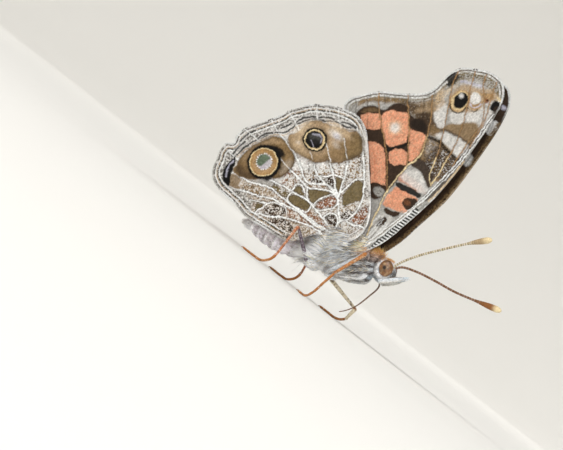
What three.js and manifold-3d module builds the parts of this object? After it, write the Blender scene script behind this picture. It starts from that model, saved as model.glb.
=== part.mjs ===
// Butterfly at rest with its wings closed over its back, life size, in millimetres.
// +X is towards the head, +Y is its left side, +Z is up, and the feet stand on z = 0.
import * as THREE from 'three';
import { mergeVertices } from 'three/addons/utils/BufferGeometryUtils.js';
import Module from 'manifold-3d';

const wasm = await Module();
wasm.setup();

// Driving dimensions
const GAP = 0.3;               // what neighbouring pieces keep between them
const PITCH = 20;              // the body's nose-up slope, in degrees
const WING_THICK = 0.5;        // membrane of a wing
const VEIN_RISE = 0.12;        // how far a vein stands out of each face
const VEIN_HALF_WIDTH = 0.24;  // from a vein's crest to the foot of its slope
const FOREWING_OUT = 1.95;     // middle of a forewing's membrane, from the body's middle plane
const FOREWING_BOW = 0.2;      // how much further out it is half way up
const FOREWING_TOP = 36.1;
const HINDWING_OUT = FOREWING_OUT + FOREWING_BOW + WING_THICK + 2 * VEIN_RISE + GAP;
const HINDWING_TUCK = 0.95;    // how far a hindwing bends in at its root
const HINDWING_TUCK_REACH = 2.8;
const RIM_STEP = 0.8;          // spacing of points on a wing's rim
const VEIN_STEP = 1.7;         // spacing of points along a vein
const FIELD_STEP = 2.2;        // spacing of points between the veins
const LEG_THICK = 0.5;         // a shin, and a foot up to its tip
const SOLE_HEIGHT = 0.17;      // middle of a foot above the floor
const FOOT_SPREAD = 7.8;       // furthest foot from the middle plane
const FEELER_THICK = 0.5;
const CLUB_THICK = 0.84;

// Colours
const FUR_GREY = 0xb9b3a6;
const COLLAR_TAN = 0xb07a4a;
const WING_BUFF = 0xa99273;
const WING_ROSE = 0xc98f74;
const EYE_BROWN = 0x8a5f35;
const LEG_TAN = 0xc9792f;
const THIGH_GREY = 0x7d6f72;
const FEELER_CREAM = 0xd8c890;
const PALP_PALE = 0xc9ccd0;
const TONGUE_BROWN = 0x4a3423;

// Body, as ellipsoids: centre, half sizes
const THORAX = { at: [0.3, 0, 6.8], half: [4.5, 2.45, 3.2] };
const NECK = { at: [3.9, 0, 7.6], half: [1.4, 1.5, 1.9] };
const COLLAR = { at: [4.0, 0.75, 9.5], half: [0.75, 0.75, 0.8] };
const TEGULA = { at: [2.6, 1.75, 8.7], half: [1.35, 0.75, 0.85] };
const MID_COXA = { at: [0.5, 1.15, 4.5], half: [1.1, 0.9, 1.2] };
const HIND_COXA = { at: [-2.2, 1.1, 4.0], half: [1.3, 0.9, 1.25] };
const HEAD = { at: [5.75, 0, 8.55], half: [1.45, 1.45, 1.6] };
const EYE = { at: [6.08, 1.16, 9.0], half: [0.9, 0.62, 1.05] };

// Rims of the wings, as [x, z], from the root along the leading edge and back
const FOREWING_RIM = [
  [2.6, 8.2], [3.25, 9.5], [4.0, 11.0], [4.6, 12.9], [5.0, 15.0], [5.45, 17.3], [5.85, 19.8],
  [5.98, 22.5], [5.95, 25.0], [5.8, 28.0], [5.6, 30.8], [5.3, 32.7], [4.9, 34.2], [4.2, 35.3],
  [3.3, 36.0], [2.2, 36.15], [1.0, 35.95], [-0.2, 35.35], [-1.3, 34.8], [-2.1, 34.0], [-2.6, 32.9],
  [-2.8, 31.6], [-2.95, 30.3], [-3.5, 29.2], [-4.6, 28.2], [-6.2, 27.15], [-7.8, 26.2],
  [-9.1, 25.1], [-9.9, 24.1], [-10.6, 23.2], [-10.9, 22.2], [-10.5, 21.3], [-7.5, 18.0],
  [-3.5, 13.6], [-0.4, 10.4], [0.5, 8.6], [1.6, 7.6],
];
const HINDWING_RIM = [
  [-0.1, 7.6], [0.4, 8.3], [1.0, 9.1], [1.4, 10.1], [1.45, 11.2], [1.15, 12.3], [0.6, 13.3],
  [-0.4, 14.6], [-1.7, 16.1], [-3.0, 17.5], [-4.2, 18.9], [-5.4, 20.1], [-6.5, 21.0], [-7.6, 21.55],
  [-8.8, 21.7], [-10.2, 21.4], [-11.6, 20.9], [-13.0, 20.1], [-14.2, 19.3], [-14.9, 18.4],
  [-15.8, 17.3], [-16.4, 16.1], [-17.0, 15.1], [-17.8, 13.9], [-18.5, 12.9], [-19.1, 12.0],
  [-19.4, 10.7], [-19.15, 9.6], [-19.85, 9.1], [-20.0, 8.0], [-19.6, 6.8], [-19.2, 5.5],
  [-18.3, 4.5], [-17.0, 4.0], [-15.2, 3.85], [-13.6, 3.7], [-12.2, 3.4], [-10.6, 3.45],
  [-8.5, 3.7], [-6.3, 3.95], [-5.2, 4.4], [-4.4, 5.2], [-3.7, 6.3], [-2.8, 7.2], [-1.9, 7.0],
  [-0.9, 6.8],
];
const HINDWING_ROOT = [-1.3, 7.6];

// Main veins, as [x, z] from the root out to the rim
const FOREWING_VEINS = [
  [[2.6, 9.6], [3.6, 12.0], [4.3, 15.0], [4.8, 18.0], [5.15, 21.0], [5.35, 24.0], [5.3, 28.0], [4.9, 33.3]],
  [[1.9, 9.8], [1.5, 12.0], [0.9, 14.4], [0.45, 16.6], [0.45, 20.5], [0.88, 22.2], [0.1, 25.2], [-2.6, 29.5]],
  [[0.4, 16.7], [-1.4, 18.9], [-3.0, 20.6], [-5.1, 22.4], [-8.0, 25.6]],
  [[0.45, 20.6], [-1.2, 22.9], [-2.8, 25.0], [-5.0, 27.5]],
  [[4.6, 20.0], [3.5, 21.4], [2.2, 25.2], [0.1, 29.4], [-0.7, 31.0], [-1.9, 33.6]],
  [[4.5, 20.4], [3.95, 24.5], [2.3, 30.0], [1.3, 32.0], [-0.1, 34.9]],
  [[5.1, 24.0], [4.75, 28.0], [4.3, 31.2], [2.6, 33.5], [1.5, 35.4]],
  [[1.0, 9.6], [-2.5, 13.8], [-6.5, 18.2], [-9.6, 22.7]],
];
const HINDWING_VEINS = [
  [[-1.8, 8.6], [-1.7, 10.1], [-1.0, 11.2], [-0.95, 12.4], [-1.3, 14.0], [-2.9, 16.3], [-4.9, 18.6], [-7.0, 20.6]],
  [[-1.1, 10.9], [0.0, 10.8], [1.1, 11.2]],
  [[-1.75, 10.1], [-3.9, 12.4], [-4.7, 14.4], [-6.0, 16.8], [-7.8, 18.6], [-9.6, 19.7], [-10.8, 20.8]],
  [[-3.9, 12.4], [-5.3, 13.4], [-7.5, 15.1], [-9.2, 16.6], [-12.2, 18.5], [-13.4, 19.5]],
  [[-4.6, 12.8], [-6.9, 13.0], [-9.3, 14.1], [-11.3, 15.1], [-14.1, 16.3], [-15.7, 16.9]],
  [[-4.0, 12.2], [-7.0, 12.1], [-11.3, 13.1], [-13.9, 13.9], [-17.2, 14.5]],
  [[-4.3, 12.0], [-7.8, 10.9], [-12.0, 11.5], [-15.5, 11.9], [-18.7, 12.0]],
  [[-1.8, 8.8], [-6.9, 9.6], [-10.3, 9.2], [-14.0, 8.6], [-18.9, 8.4]],
  [[-2.4, 8.0], [-7.0, 7.8], [-10.6, 7.05], [-14.0, 5.7], [-16.6, 4.7]],
  [[-2.6, 7.5], [-6.4, 6.7], [-9.3, 5.3], [-12.2, 3.9]],
];

// Routes of the limbs on the right side, as [x, distance out, z]; the left side differs where named
const HIND_LEG = { hip: [-2.5, 1.3, 3.6], knee: [-4.9, 5.6, 6.4], ankle: [-4.5, 6.8, 1.9] };
const HIND_FOOT = [HIND_LEG.ankle, [-4.8, 6.9, 1.0], [-5.6, 7.0, SOLE_HEIGHT + 0.1],
  [-6.5, 7.1, SOLE_HEIGHT], [-8.5, 7.25, SOLE_HEIGHT]];
const MID_LEG_RIGHT = { hip: [0.4, 1.5, 4.0], knee: [3.9, 4.5, 9.0], ankle: [2.65, 6.1, 4.6] };
const MID_FOOT_RIGHT = [MID_LEG_RIGHT.ankle, [2.45, 6.6, 2.8], [2.25, 7.1, 1.1],
  [1.9, 7.6, SOLE_HEIGHT + 0.05], [0.7, FOOT_SPREAD, SOLE_HEIGHT]];
const MID_LEG_LEFT = { hip: [0.5, 1.2, 3.75], knee: [4.9, 3.4, 2.65], ankle: [3.7, 7.0, 0.95] };
const MID_FOOT_LEFT = [MID_LEG_LEFT.ankle, [3.1, 7.3, 0.45], [2.2, 7.6, SOLE_HEIGHT],
  [1.2, FOOT_SPREAD, SOLE_HEIGHT], [-0.3, FOOT_SPREAD, SOLE_HEIGHT]];
const FORELEG = [[4.6, 1.0, 6.9], [4.3, 1.6, 6.1], [3.1, 1.85, 5.3], [1.9, 1.8, 4.6]];
const FEELER_RIGHT = [[6.5, 0.5, 9.5], [7.0, 0.8, 10.6], [8.6, 1.9, 12.7], [10.55, 2.9, 14.8],
  [13.4, 4.3, 17.7], [15.7, 5.5, 19.7]];
const FEELER_LEFT = [[6.4, 0.5, 9.4], [7.1, 0.65, 10.3], [8.9, 1.0, 11.0], [11.3, 1.5, 11.5],
  [14.1, 2.0, 11.95], [17.9, 2.7, 13.0], [20.0, 3.1, 13.6]];
const PALP = [[6.1, 0.7, 7.2], [7.1, 0.62, 7.95], [8.05, 0.55, 8.85], [8.95, 0.5, 9.8]];
const TONGUE = [[5.9, 0, 7.6], [6.5, 0, 6.6], [6.25, 0, 5.0], [5.7, 0, 3.0], [5.0, 0, 1.8], [4.4, 0, 1.15]];
const ABDOMEN = [[-2.4, 0, 5.6], [-5.0, 0, 4.35], [-8.0, 0, 3.65], [-10.4, 0, 3.25], [-12.35, 0, 2.8]];
const ABDOMEN_THICK = 3.5;
const ABDOMEN_RINGS = 8;

// Turning geometry into solids and back
function solid(geometry) {
  const bare = geometry.clone();
  bare.deleteAttribute('normal');
  bare.deleteAttribute('uv');
  const merged = mergeVertices(bare, 1e-4);
  return new wasm.Manifold(new wasm.Mesh({
    numProp: 3,
    vertProperties: new Float32Array(merged.attributes.position.array),
    triVerts: new Uint32Array(merged.index.array),
  }));
}

function join(pieces) {
  return pieces.reduce((whole, piece) => whole.add(piece));
}

function cutClear(piece, neighbours) {
  return neighbours.reduce((rest, neighbour) => rest.subtract(neighbour), piece);
}

function largest(piece) {
  return piece.decompose().sort((a, b) => b.volume() - a.volume())[0];
}

function geometryOf(piece) {
  const mesh = largest(piece).getMesh();
  const geometry = new THREE.BufferGeometry();
  geometry.setAttribute('position', new THREE.BufferAttribute(new Float32Array(mesh.vertProperties), 3));
  geometry.setIndex(new THREE.BufferAttribute(new Uint32Array(mesh.triVerts), 1));
  geometry.computeVertexNormals();
  return geometry;
}

// An ellipsoid that follows the body's slope; swell makes it that much larger all round.
function ellipsoid({ at, half }, side, swell, rounds = 20) {
  const geometry = new THREE.SphereGeometry(1, rounds, Math.round(rounds * 0.7));
  geometry.rotateX(Math.PI / 2);
  geometry.scale(...half.map((size) => size + swell));
  geometry.rotateY(-THREE.MathUtils.degToRad(PITCH));
  geometry.translate(at[0], at[1] * side, at[2]);
  return solid(geometry);
}

// A limb: a turned profile of [share of the length, radius] whose axis is laid along the route.
function limb(route, profile, side, swell = 0, sides = 8) {
  const points = route.map(([x, out, z]) => new THREE.Vector3(x, out * side, z));
  const first = points[0].clone().sub(points[1]).setLength(swell).add(points[0]);
  const end = points.length - 1;
  const last = points[end].clone().sub(points[end - 1]).setLength(swell).add(points[end]);
  points[0] = first;
  points[end] = last;
  const curve = new THREE.CatmullRomCurve3(points, false, 'centripetal');
  const frames = curve.computeFrenetFrames(profile.length - 1, false);
  const outline = profile.map(([share, radius]) => (
    new THREE.Vector2(radius > 0 ? radius + swell : 0, share)));
  const geometry = new THREE.LatheGeometry(outline, sides);
  const position = geometry.attributes.position;
  for (let i = 0; i < position.count; i += 1) {
    const ring = i % profile.length;
    const place = curve.getPointAt(profile[ring][0]);
    place.addScaledVector(frames.normals[ring], position.getX(i));
    place.addScaledVector(frames.binormals[ring], position.getZ(i));
    position.setXYZ(i, place.x, place.y, place.z);
  }
  const made = solid(geometry);
  return made.volume() > 0 ? made : solid(flipped(geometry));
}

function flipped(geometry) {
  const index = geometry.index.array;
  for (let i = 0; i < index.length; i += 3) {
    [index[i], index[i + 1]] = [index[i + 1], index[i]];
  }
  return geometry;
}

// Even thickness with rounded ends, as shares of the length
function evenProfile(radius, steps, tipRadius = radius) {
  const profile = [[0, 0]];
  for (let i = 0; i <= steps; i += 1) {
    const share = 0.02 + (0.96 * i) / steps;
    profile.push([share, radius + (tipRadius - radius) * share]);
  }
  profile.push([1, 0]);
  return profile;
}

// Delaunay triangles of points in the wing's plane
function triangulate(points) {
  const far = 1000;
  const all = [...points, [-far, -far], [far, -far], [0, far]];
  const count = points.length;
  let triangles = [circled(all, count, count + 1, count + 2)];
  points.forEach(([x, z], index) => {
    const rim = new Map();
    const kept = [];
    triangles.forEach((triangle) => {
      if ((x - triangle.x) ** 2 + (z - triangle.z) ** 2 >= triangle.r2) {
        kept.push(triangle);
        return;
      }
      const [a, b, c] = triangle.corners;
      [[a, b], [b, c], [c, a]].forEach(([from, to]) => {
        const back = `${to} ${from}`;
        if (rim.has(back)) {
          rim.delete(back);
        } else {
          rim.set(`${from} ${to}`, [from, to]);
        }
      });
    });
    triangles = kept;
    rim.forEach(([from, to]) => triangles.push(circled(all, from, to, index)));
  });
  return triangles.map(({ corners }) => corners).filter((corners) => Math.max(...corners) < count);
}

function circled(points, a, b, c) {
  const [ax, az] = points[a];
  const [bx, bz] = points[b].map((value, axis) => value - points[a][axis]);
  const [cx, cz] = points[c].map((value, axis) => value - points[a][axis]);
  const twice = 2 * (bx * cz - bz * cx);
  const x = (cz * (bx * bx + bz * bz) - bz * (cx * cx + cz * cz)) / twice;
  const z = (bx * (cx * cx + cz * cz) - cx * (bx * bx + bz * bz)) / twice;
  return { corners: [a, b, c], x: ax + x, z: az + z, r2: x * x + z * z };
}

function nearest([x, z], points) {
  return Math.min(...points.map(([px, pz]) => Math.hypot(px - x, pz - z)));
}

function inside([x, z], rim) {
  let odd = false;
  rim.forEach(([ax, az], i) => {
    const [bx, bz] = rim[(i + 1) % rim.length];
    if ((az > z) !== (bz > z) && x < ax + ((z - az) * (bx - ax)) / (bz - az)) {
      odd = !odd;
    }
  });
  return odd;
}

function spaced(points, step, closed) {
  const route = points.map(([x, z]) => new THREE.Vector3(x, 0, z));
  const curve = new THREE.CatmullRomCurve3(route, closed, 'centripetal');
  const parts = Math.round(curve.getLength() / step);
  return curve.getSpacedPoints(parts).slice(0, closed ? parts : parts + 1).map(({ x, z }) => [x, z]);
}

// Points of one vein: a crest with a foot on either side at each station
function veinPoints(vein) {
  const crest = spaced(vein, VEIN_STEP, false);
  return crest.flatMap(([x, z], i) => {
    const [ax, az] = crest[Math.max(i - 1, 0)];
    const [bx, bz] = crest[Math.min(i + 1, crest.length - 1)];
    const length = Math.hypot(bx - ax, bz - az);
    const across = [(-(bz - az) / length) * VEIN_HALF_WIDTH, ((bx - ax) / length) * VEIN_HALF_WIDTH];
    return [
      { place: [x, z], rise: VEIN_RISE },
      { place: [x + across[0], z + across[1]], rise: 0 },
      { place: [x - across[0], z - across[1]], rise: 0 },
    ];
  });
}

// A wing: the same triangles on both faces, its veins raised in them, and a wall round the rim
function wing(rimPoints, veins, outAt, side) {
  const rim = spaced(rimPoints, RIM_STEP, true);
  const places = [...rim];
  const rises = rim.map(() => 0);
  const add = (place, rise, fromRim, fromOthers) => {
    if (inside(place, rim) && nearest(place, rim) > fromRim
      && nearest(place, places.slice(rim.length).concat([[1e3, 1e3]])) > fromOthers) {
      places.push(place);
      rises.push(rise);
    }
  };
  const stations = veins.flatMap(veinPoints);
  stations.filter(({ rise }) => rise > 0).forEach(({ place, rise }) => add(place, rise, 0.55, 0.4));
  stations.filter(({ rise }) => rise === 0).forEach(({ place, rise }) => add(place, rise, 0.5, 0.18));
  const xs = rim.map(([x]) => x);
  const zs = rim.map(([, z]) => z);
  for (let z = Math.min(...zs), row = 0; z < Math.max(...zs); z += FIELD_STEP * 0.866, row += 1) {
    for (let x = Math.min(...xs) + (row % 2) * FIELD_STEP * 0.5; x < Math.max(...xs); x += FIELD_STEP) {
      add([x, z], 0, 0.9, 0.9);
    }
  }
  const middle = ([a, b, c]) => [0, 1].map((axis) => (places[a][axis] + places[b][axis] + places[c][axis]) / 3);
  const triangles = triangulate(places).filter((corners) => inside(middle(corners), rim));
  const count = places.length;
  const positions = [];
  [1, -1].forEach((face) => {
    places.forEach(([x, z], i) => {
      positions.push(x, side * (outAt(x, z) + face * (WING_THICK / 2 + rises[i])), z);
    });
  });
  const index = [];
  const edges = new Map();
  triangles.forEach(([a, b, c]) => {
    index.push(a, b, c, a + count, c + count, b + count);
    [[a, b], [b, c], [c, a]].forEach(([from, to]) => edges.set(`${from} ${to}`, [from, to]));
  });
  edges.forEach(([from, to]) => {
    if (!edges.has(`${to} ${from}`)) {
      index.push(to, from, from + count, to, from + count, to + count);
    }
  });
  const geometry = new THREE.BufferGeometry();
  geometry.setAttribute('position', new THREE.Float32BufferAttribute(positions, 3));
  geometry.setIndex(index);
  const made = solid(geometry);
  return made.volume() > 0 ? made : solid(flipped(geometry));
}

const forewingOut = (x, z) => FOREWING_OUT + FOREWING_BOW * Math.sin((Math.PI * z) / FOREWING_TOP);

const hindwingOut = (x, z) => {
  const fromRoot = Math.hypot(x - HINDWING_ROOT[0], z - HINDWING_ROOT[1]);
  const tuck = 1 - THREE.MathUtils.smoothstep(fromRoot, 0.3, HINDWING_TUCK_REACH);
  const rear = THREE.MathUtils.smoothstep(-x, 11, 20);
  return HINDWING_OUT - HINDWING_TUCK * tuck - 0.5 * rear;
};

// Body
function thorax(swell = 0) {
  const pieces = [ellipsoid(THORAX, 1, swell, 20), ellipsoid(NECK, 1, swell, 14)];
  [1, -1].forEach((side) => {
    [COLLAR, TEGULA, MID_COXA, HIND_COXA].forEach((lump) => pieces.push(ellipsoid(lump, side, swell, 10)));
  });
  return join(pieces);
}

function abdomenProfile() {
  const profile = [[0, 0]];
  const steps = ABDOMEN_RINGS * 3;
  for (let i = 0; i <= steps; i += 1) {
    const share = 0.02 + (0.96 * i) / steps;
    const belly = Math.sin(Math.PI * (0.2 + 0.8 * share) ** 1.35) ** 0.6;
    const waist = i % 3 === 0 ? 0.95 : 1;
    profile.push([share, Math.max(0.25, (ABDOMEN_THICK / 2) * belly * waist)]);
  }
  profile.push([1, 0]);
  return profile;
}

const abdomen = (swell = 0) => limb(ABDOMEN, abdomenProfile(), 1, swell, 14);

const eye = (side, swell = 0) => ellipsoid(EYE, side, swell, 14);

const head = (swell = 0) => ellipsoid(HEAD, 1, swell, 18);

const palp = (side, swell = 0) => limb(PALP, [[0, 0], [0.03, 0.3], [0.2, 0.42], [0.45, 0.4], [0.7, 0.32],
  [0.9, 0.25], [1, 0]], side, swell);

const thigh = ({ hip, knee }, side, swell = 0) => (
  limb([hip, knee], evenProfile(LEG_THICK * 0.62, 3, LEG_THICK * 0.52), side, swell));

const shin = ({ knee, ankle }, side, swell = 0) => (
  limb([knee, ankle], evenProfile(LEG_THICK / 2, 3), side, swell));

const floorBlock = solid(new THREE.BoxGeometry(60, 60, 4).translate(0, 0, -2));

const foot = (route, side) => limb(route, evenProfile(LEG_THICK / 2, 8, LEG_THICK * 0.42), side);

const feelerProfile = () => {
  const profile = evenProfile(FEELER_THICK / 2, 9).slice(0, -1);
  const club = [[0.88, 0.6], [0.915, 0.9], [0.95, 1], [0.98, 0.75], [1, 0]];
  return [...profile.filter(([share]) => share < 0.87),
    ...club.map(([share, size]) => [share, (size * CLUB_THICK) / 2])];
};

// The whole animal
const butterfly = new THREE.Group();

function place(name, piece, color, roughness = 0.8) {
  const mesh = new THREE.Mesh(
    geometryOf(piece),
    new THREE.MeshStandardMaterial({ color, roughness, metalness: 0 }),
  );
  mesh.name = name;
  butterfly.add(mesh);
}

const thoraxSpace = thorax(GAP);
const headSpace = head(GAP);
const SIDES = { right: -1, left: 1 };

place('thorax', thorax(), FUR_GREY, 0.95);
place('abdomen', cutClear(abdomen(), [thoraxSpace]), FUR_GREY, 0.95);
place('head', cutClear(head(), [thoraxSpace, eye(1, GAP), eye(-1, GAP)]), COLLAR_TAN, 0.95);
place('proboscis', cutClear(limb(TONGUE, evenProfile(0.25, 10, 0.2), 1), [
  headSpace, palp(1, GAP), palp(-1, GAP)]), TONGUE_BROWN, 0.5);

Object.entries(SIDES).forEach(([name, side]) => {
  const midLeg = side < 0 ? MID_LEG_RIGHT : MID_LEG_LEFT;
  const midFoot = side < 0 ? MID_FOOT_RIGHT : MID_FOOT_LEFT;
  const legs = { mid: [midLeg, midFoot], hind: [HIND_LEG, HIND_FOOT] };
  place(`eye_${name}`, eye(side), EYE_BROWN, 0.3);
  place(`palp_${name}`, cutClear(palp(side), [headSpace, eye(side, GAP)]), PALP_PALE, 0.95);
  place(`antenna_${name}`, cutClear(
    limb(side < 0 ? FEELER_RIGHT : FEELER_LEFT, feelerProfile(), side),
    [headSpace, eye(side, GAP)],
  ), FEELER_CREAM, 0.6);
  place(`forewing_${name}`, cutClear(
    wing(FOREWING_RIM, FOREWING_VEINS, forewingOut, side),
    [thoraxSpace],
  ), WING_ROSE, 0.8);
  place(`hindwing_${name}`, cutClear(
    wing(HINDWING_RIM, HINDWING_VEINS, hindwingOut, side),
    [thoraxSpace],
  ), WING_BUFF, 0.8);
  place(`foreleg_${name}`, cutClear(
    limb(FORELEG, evenProfile(0.32, 5, 0.25), side),
    [thoraxSpace, headSpace],
  ), PALP_PALE, 0.9);
  Object.entries(legs).forEach(([pair, [leg, route]]) => {
    place(`${pair}_femur_${name}`, cutClear(thigh(leg, side), [thoraxSpace]), THIGH_GREY, 0.8);
    place(`${pair}_tibia_${name}`, cutClear(shin(leg, side), [thigh(leg, side, GAP)]), LEG_TAN, 0.6);
    place(`${pair}_tarsus_${name}`, cutClear(foot(route, side), [
      shin(leg, side, GAP), floorBlock]), LEG_TAN, 0.6);
  });
});

export default butterfly;
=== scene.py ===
"""Painted lady butterfly at rest, life size: wings, body, coat, limbs and studio, round the packed solids."""

import math
import random

import bmesh
import bpy
import numpy as np
from bpy.props import FloatProperty, FloatVectorProperty, IntProperty, PointerProperty
from mathutils import Matrix, Quaternion, Vector, geometry
from mathutils.kdtree import KDTree


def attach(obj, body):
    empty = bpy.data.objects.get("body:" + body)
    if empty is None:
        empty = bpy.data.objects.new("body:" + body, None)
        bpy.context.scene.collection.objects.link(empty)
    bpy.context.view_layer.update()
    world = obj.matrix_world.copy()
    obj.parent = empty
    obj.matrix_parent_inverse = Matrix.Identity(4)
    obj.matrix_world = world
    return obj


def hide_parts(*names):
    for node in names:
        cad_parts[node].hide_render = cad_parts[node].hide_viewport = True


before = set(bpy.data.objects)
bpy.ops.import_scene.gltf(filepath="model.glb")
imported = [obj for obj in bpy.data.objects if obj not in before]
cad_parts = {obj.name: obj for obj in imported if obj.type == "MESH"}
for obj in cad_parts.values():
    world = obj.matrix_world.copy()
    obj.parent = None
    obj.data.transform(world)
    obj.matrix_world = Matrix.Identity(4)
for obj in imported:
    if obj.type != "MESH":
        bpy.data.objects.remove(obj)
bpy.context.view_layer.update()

bl_info = {
    "name": "Painted Lady Butterfly",
    "version": (1, 0, 0),
    "blender": (4, 5, 0),
    "location": "View3D > Sidebar > Butterfly",
    "description": "Builds a life-size butterfly at rest round its packed solids",
    "category": "Object",
}

SIDES = {"right": -1, "left": 1}
MILLIMETRE = 0.001
TUFT_PATCH = 0.003


# Sizes and colours

def length(name, description, default, precision=5):
    """A size in metres."""
    return FloatProperty(name=name, description=description, default=default, min=0,
                         subtype="DISTANCE", unit="LENGTH", precision=precision)


def tint(name, description, red, green, blue):
    """A colour as a screen shows it, from 0 to 255."""
    return FloatVectorProperty(name=name, description=description, size=3, min=0, max=1,
                               subtype="COLOR_GAMMA", default=(red / 255, green / 255, blue / 255))


def linear(colour):
    """A screen colour as the amounts of light that a shader works with."""
    shown = np.asarray(colour, float)[..., :3]
    return np.where(shown <= 0.04045, shown / 12.92, ((shown + 0.055) / 1.055) ** 2.4)


class WingSizes(bpy.types.PropertyGroup):
    """Sizes of the wings."""

    thickness: length("Thickness", "Membrane with its scales", 0.00014)
    vein_rise: length("Vein Rise", "How far a vein stands out of each face", 0.00007)
    hollow: length("Hollow", "How far the membrane sinks between the veins", 0.00008)
    step: length("Point Spacing", "Spacing of points over a face", 0.00009)
    fringe: length("Fringe", "Length of the scales along the rim", 0.00028)
    scale_width: length("Scale Width", "Width of a scale of the fringe", 0.00009)


class WingColours(bpy.types.PropertyGroup):
    """Colours of the wings' scales."""

    white: tint("White", "Veins and white marks", 224, 225, 224)
    pale: tint("Pale", "Ground of the hindwing", 198, 195, 191)
    lilac: tint("Lilac", "Cool glints in the eyespots", 172, 170, 184)
    grey: tint("Grey", "Cool shade between marks", 148, 146, 141)
    buff: tint("Buff", "Soft light part of a field", 196, 174, 144)
    tan: tint("Tan", "Field round the small eyespot", 160, 136, 106)
    brown: tint("Brown", "Field round the large eyespot", 120, 97, 66)
    olive: tint("Olive", "Cells near the hindwing's root", 100, 86, 56)
    umber: tint("Umber", "Dark bars of the forewing", 50, 37, 27)
    black: tint("Black", "Rings of the eyespots", 14, 12, 10)
    ink: tint("Ink", "Scalloped lines along the margin", 38, 38, 34)
    rust: tint("Rust", "Red-brown streaks", 118, 72, 44)
    orange: tint("Orange", "Patches of the forewing", 200, 136, 106)
    ember: tint("Ember", "Deep orange at the patches' edges", 176, 92, 60)
    gold: tint("Gold", "Discs of the eyespots", 150, 117, 74)
    cream: tint("Cream", "Rims of the discs", 214, 194, 152)
    moss: tint("Moss", "Green heart of the large eyespot", 88, 100, 82)
    straw: tint("Straw", "Veins of the forewing", 150, 116, 78)


# Curves and flat shapes, in millimetres

def smooth_route(points, step, closed=False):
    """Evenly spaced points on a smooth curve through the given ones."""
    given = np.array(points, float)
    if closed:
        given = np.vstack([given[-1:], given, given[:2]])
    else:
        given = np.vstack([2 * given[:1] - given[1:2], given, 2 * given[-1:] - given[-2:-1]])
    parts = []
    for a, b, c, d in zip(given, given[1:], given[2:], given[3:]):
        gaps = [max(np.linalg.norm(v), 1e-9) ** 0.5 for v in (b - a, c - b, d - c)]
        t0, t1, t2, t3 = np.cumsum([0] + gaps)
        t = np.linspace(t1, t2, 17)[:-1, None]
        ab = ((t1 - t) * a + (t - t0) * b) / (t1 - t0)
        bc = ((t2 - t) * b + (t - t1) * c) / (t2 - t1)
        cd = ((t3 - t) * c + (t - t2) * d) / (t3 - t2)
        early = ((t2 - t) * ab + (t - t0) * bc) / (t2 - t0)
        late = ((t3 - t) * bc + (t - t1) * cd) / (t3 - t1)
        parts.append(((t2 - t) * early + (t - t1) * late) / (t2 - t1))
    fine = np.vstack(parts + [given[-2:-1]])
    along = np.append(0, np.cumsum(np.linalg.norm(np.diff(fine, axis=0), axis=1)))
    count = max(2, round(along[-1] / step))
    where = np.linspace(0, along[-1], count + 1)
    route = np.stack([np.interp(where, along, axis) for axis in fine.T], 1)
    return route[:-1] if closed else route


def distance_to(points, line, reach):
    """Distance of each point from a line of straight pieces, up to a reach."""
    order = np.argsort(points[:, 0])
    ranked = points[order]
    best = np.full(len(points), reach ** 2)
    for a, b in zip(line, line[1:]):
        edge = b - a
        start, end = np.searchsorted(ranked[:, 0], [min(a[0], b[0]) - reach, max(a[0], b[0]) + reach])
        off = ranked[start:end] - a
        share = np.clip(off @ edge / max(edge @ edge, 1e-12), 0, 1)
        away = ((off - share[:, None] * edge) ** 2).sum(1)
        best[start:end] = np.minimum(best[start:end], away)
    found = np.empty(len(points))
    found[order] = np.sqrt(best)
    return found


def inside(points, outline):
    """Whether each point lies inside a closed outline."""
    odd = np.zeros(len(points), bool)
    x, z = points.T
    for (ax, az), (bx, bz) in zip(outline, np.roll(outline, -1, 0)):
        if az != bz:
            odd ^= ((az > z) != (bz > z)) & (x < ax + (z - az) * (bx - ax) / (bz - az))
    return odd


def ease(value, low, high):
    """0 below low, 1 above high, smooth between; low may be the larger."""
    share = np.clip((value - low) / (high - low), 0, 1)
    return share * share * (3 - 2 * share)


def layered(points, ground, *layers):
    """A ground colour under layers. Each has a colour, its share at every point and, if given, its light."""
    made = np.tile(ground, (len(points), 1))
    for colour, share, *light in layers:
        tone = linear(colour) * (light[0] if light else 1)
        made += (tone - made) * share[:, None]
    return made


def patches(points, size, seed=0):
    """Smooth random values from 0 to 1 over points of a plane or of space, in patches of a given size."""
    cell = points / size
    base = np.floor(cell).astype(np.int64)
    share = ease(cell - base, 0, 1)
    total = np.zeros(len(points))
    for corner in np.ndindex(*(2,) * points.shape[1]):
        at = base + corner
        number = at @ np.array([73856093, 19349663, 83492791][:points.shape[1]]) + seed * 7919
        number = (number ^ (number >> 13)) * 1274126177 & 0x7FFFFFFF
        value = ((number ^ (number >> 16)) & 0xFFFF) / 0xFFFF
        weight = np.prod(np.where(np.array(corner) == 1, share, 1 - share), 1)
        total += value * weight
    return total


# Meshes

def mesh_from(name, points, triangles, colours, corner_uv):
    """A mesh of triangles from points in millimetres, with its colours and its baking map."""
    mesh = bpy.data.meshes.new(name)
    mesh.vertices.add(len(points))
    mesh.vertices.foreach_set("co", (points * MILLIMETRE).astype(np.float32).ravel())
    mesh.loops.add(triangles.size)
    mesh.loops.foreach_set("vertex_index", triangles.astype(np.int32).ravel())
    mesh.polygons.add(len(triangles))
    mesh.polygons.foreach_set("loop_start", np.arange(0, triangles.size, 3, dtype=np.int32))
    mesh.update(calc_edges=True)
    paint(mesh, colours)
    mesh.uv_layers.new(name="OFBake").data.foreach_set("uv", corner_uv.astype(np.float32).ravel())
    mesh.shade_smooth()
    return mesh


def paint(mesh, colours):
    """Stores one colour for each vertex."""
    layer = mesh.color_attributes.new("paint", "FLOAT_COLOR", "POINT")
    full = np.column_stack([colours, np.ones(len(colours))])
    layer.data.foreach_set("color", full.astype(np.float32).ravel())


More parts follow.
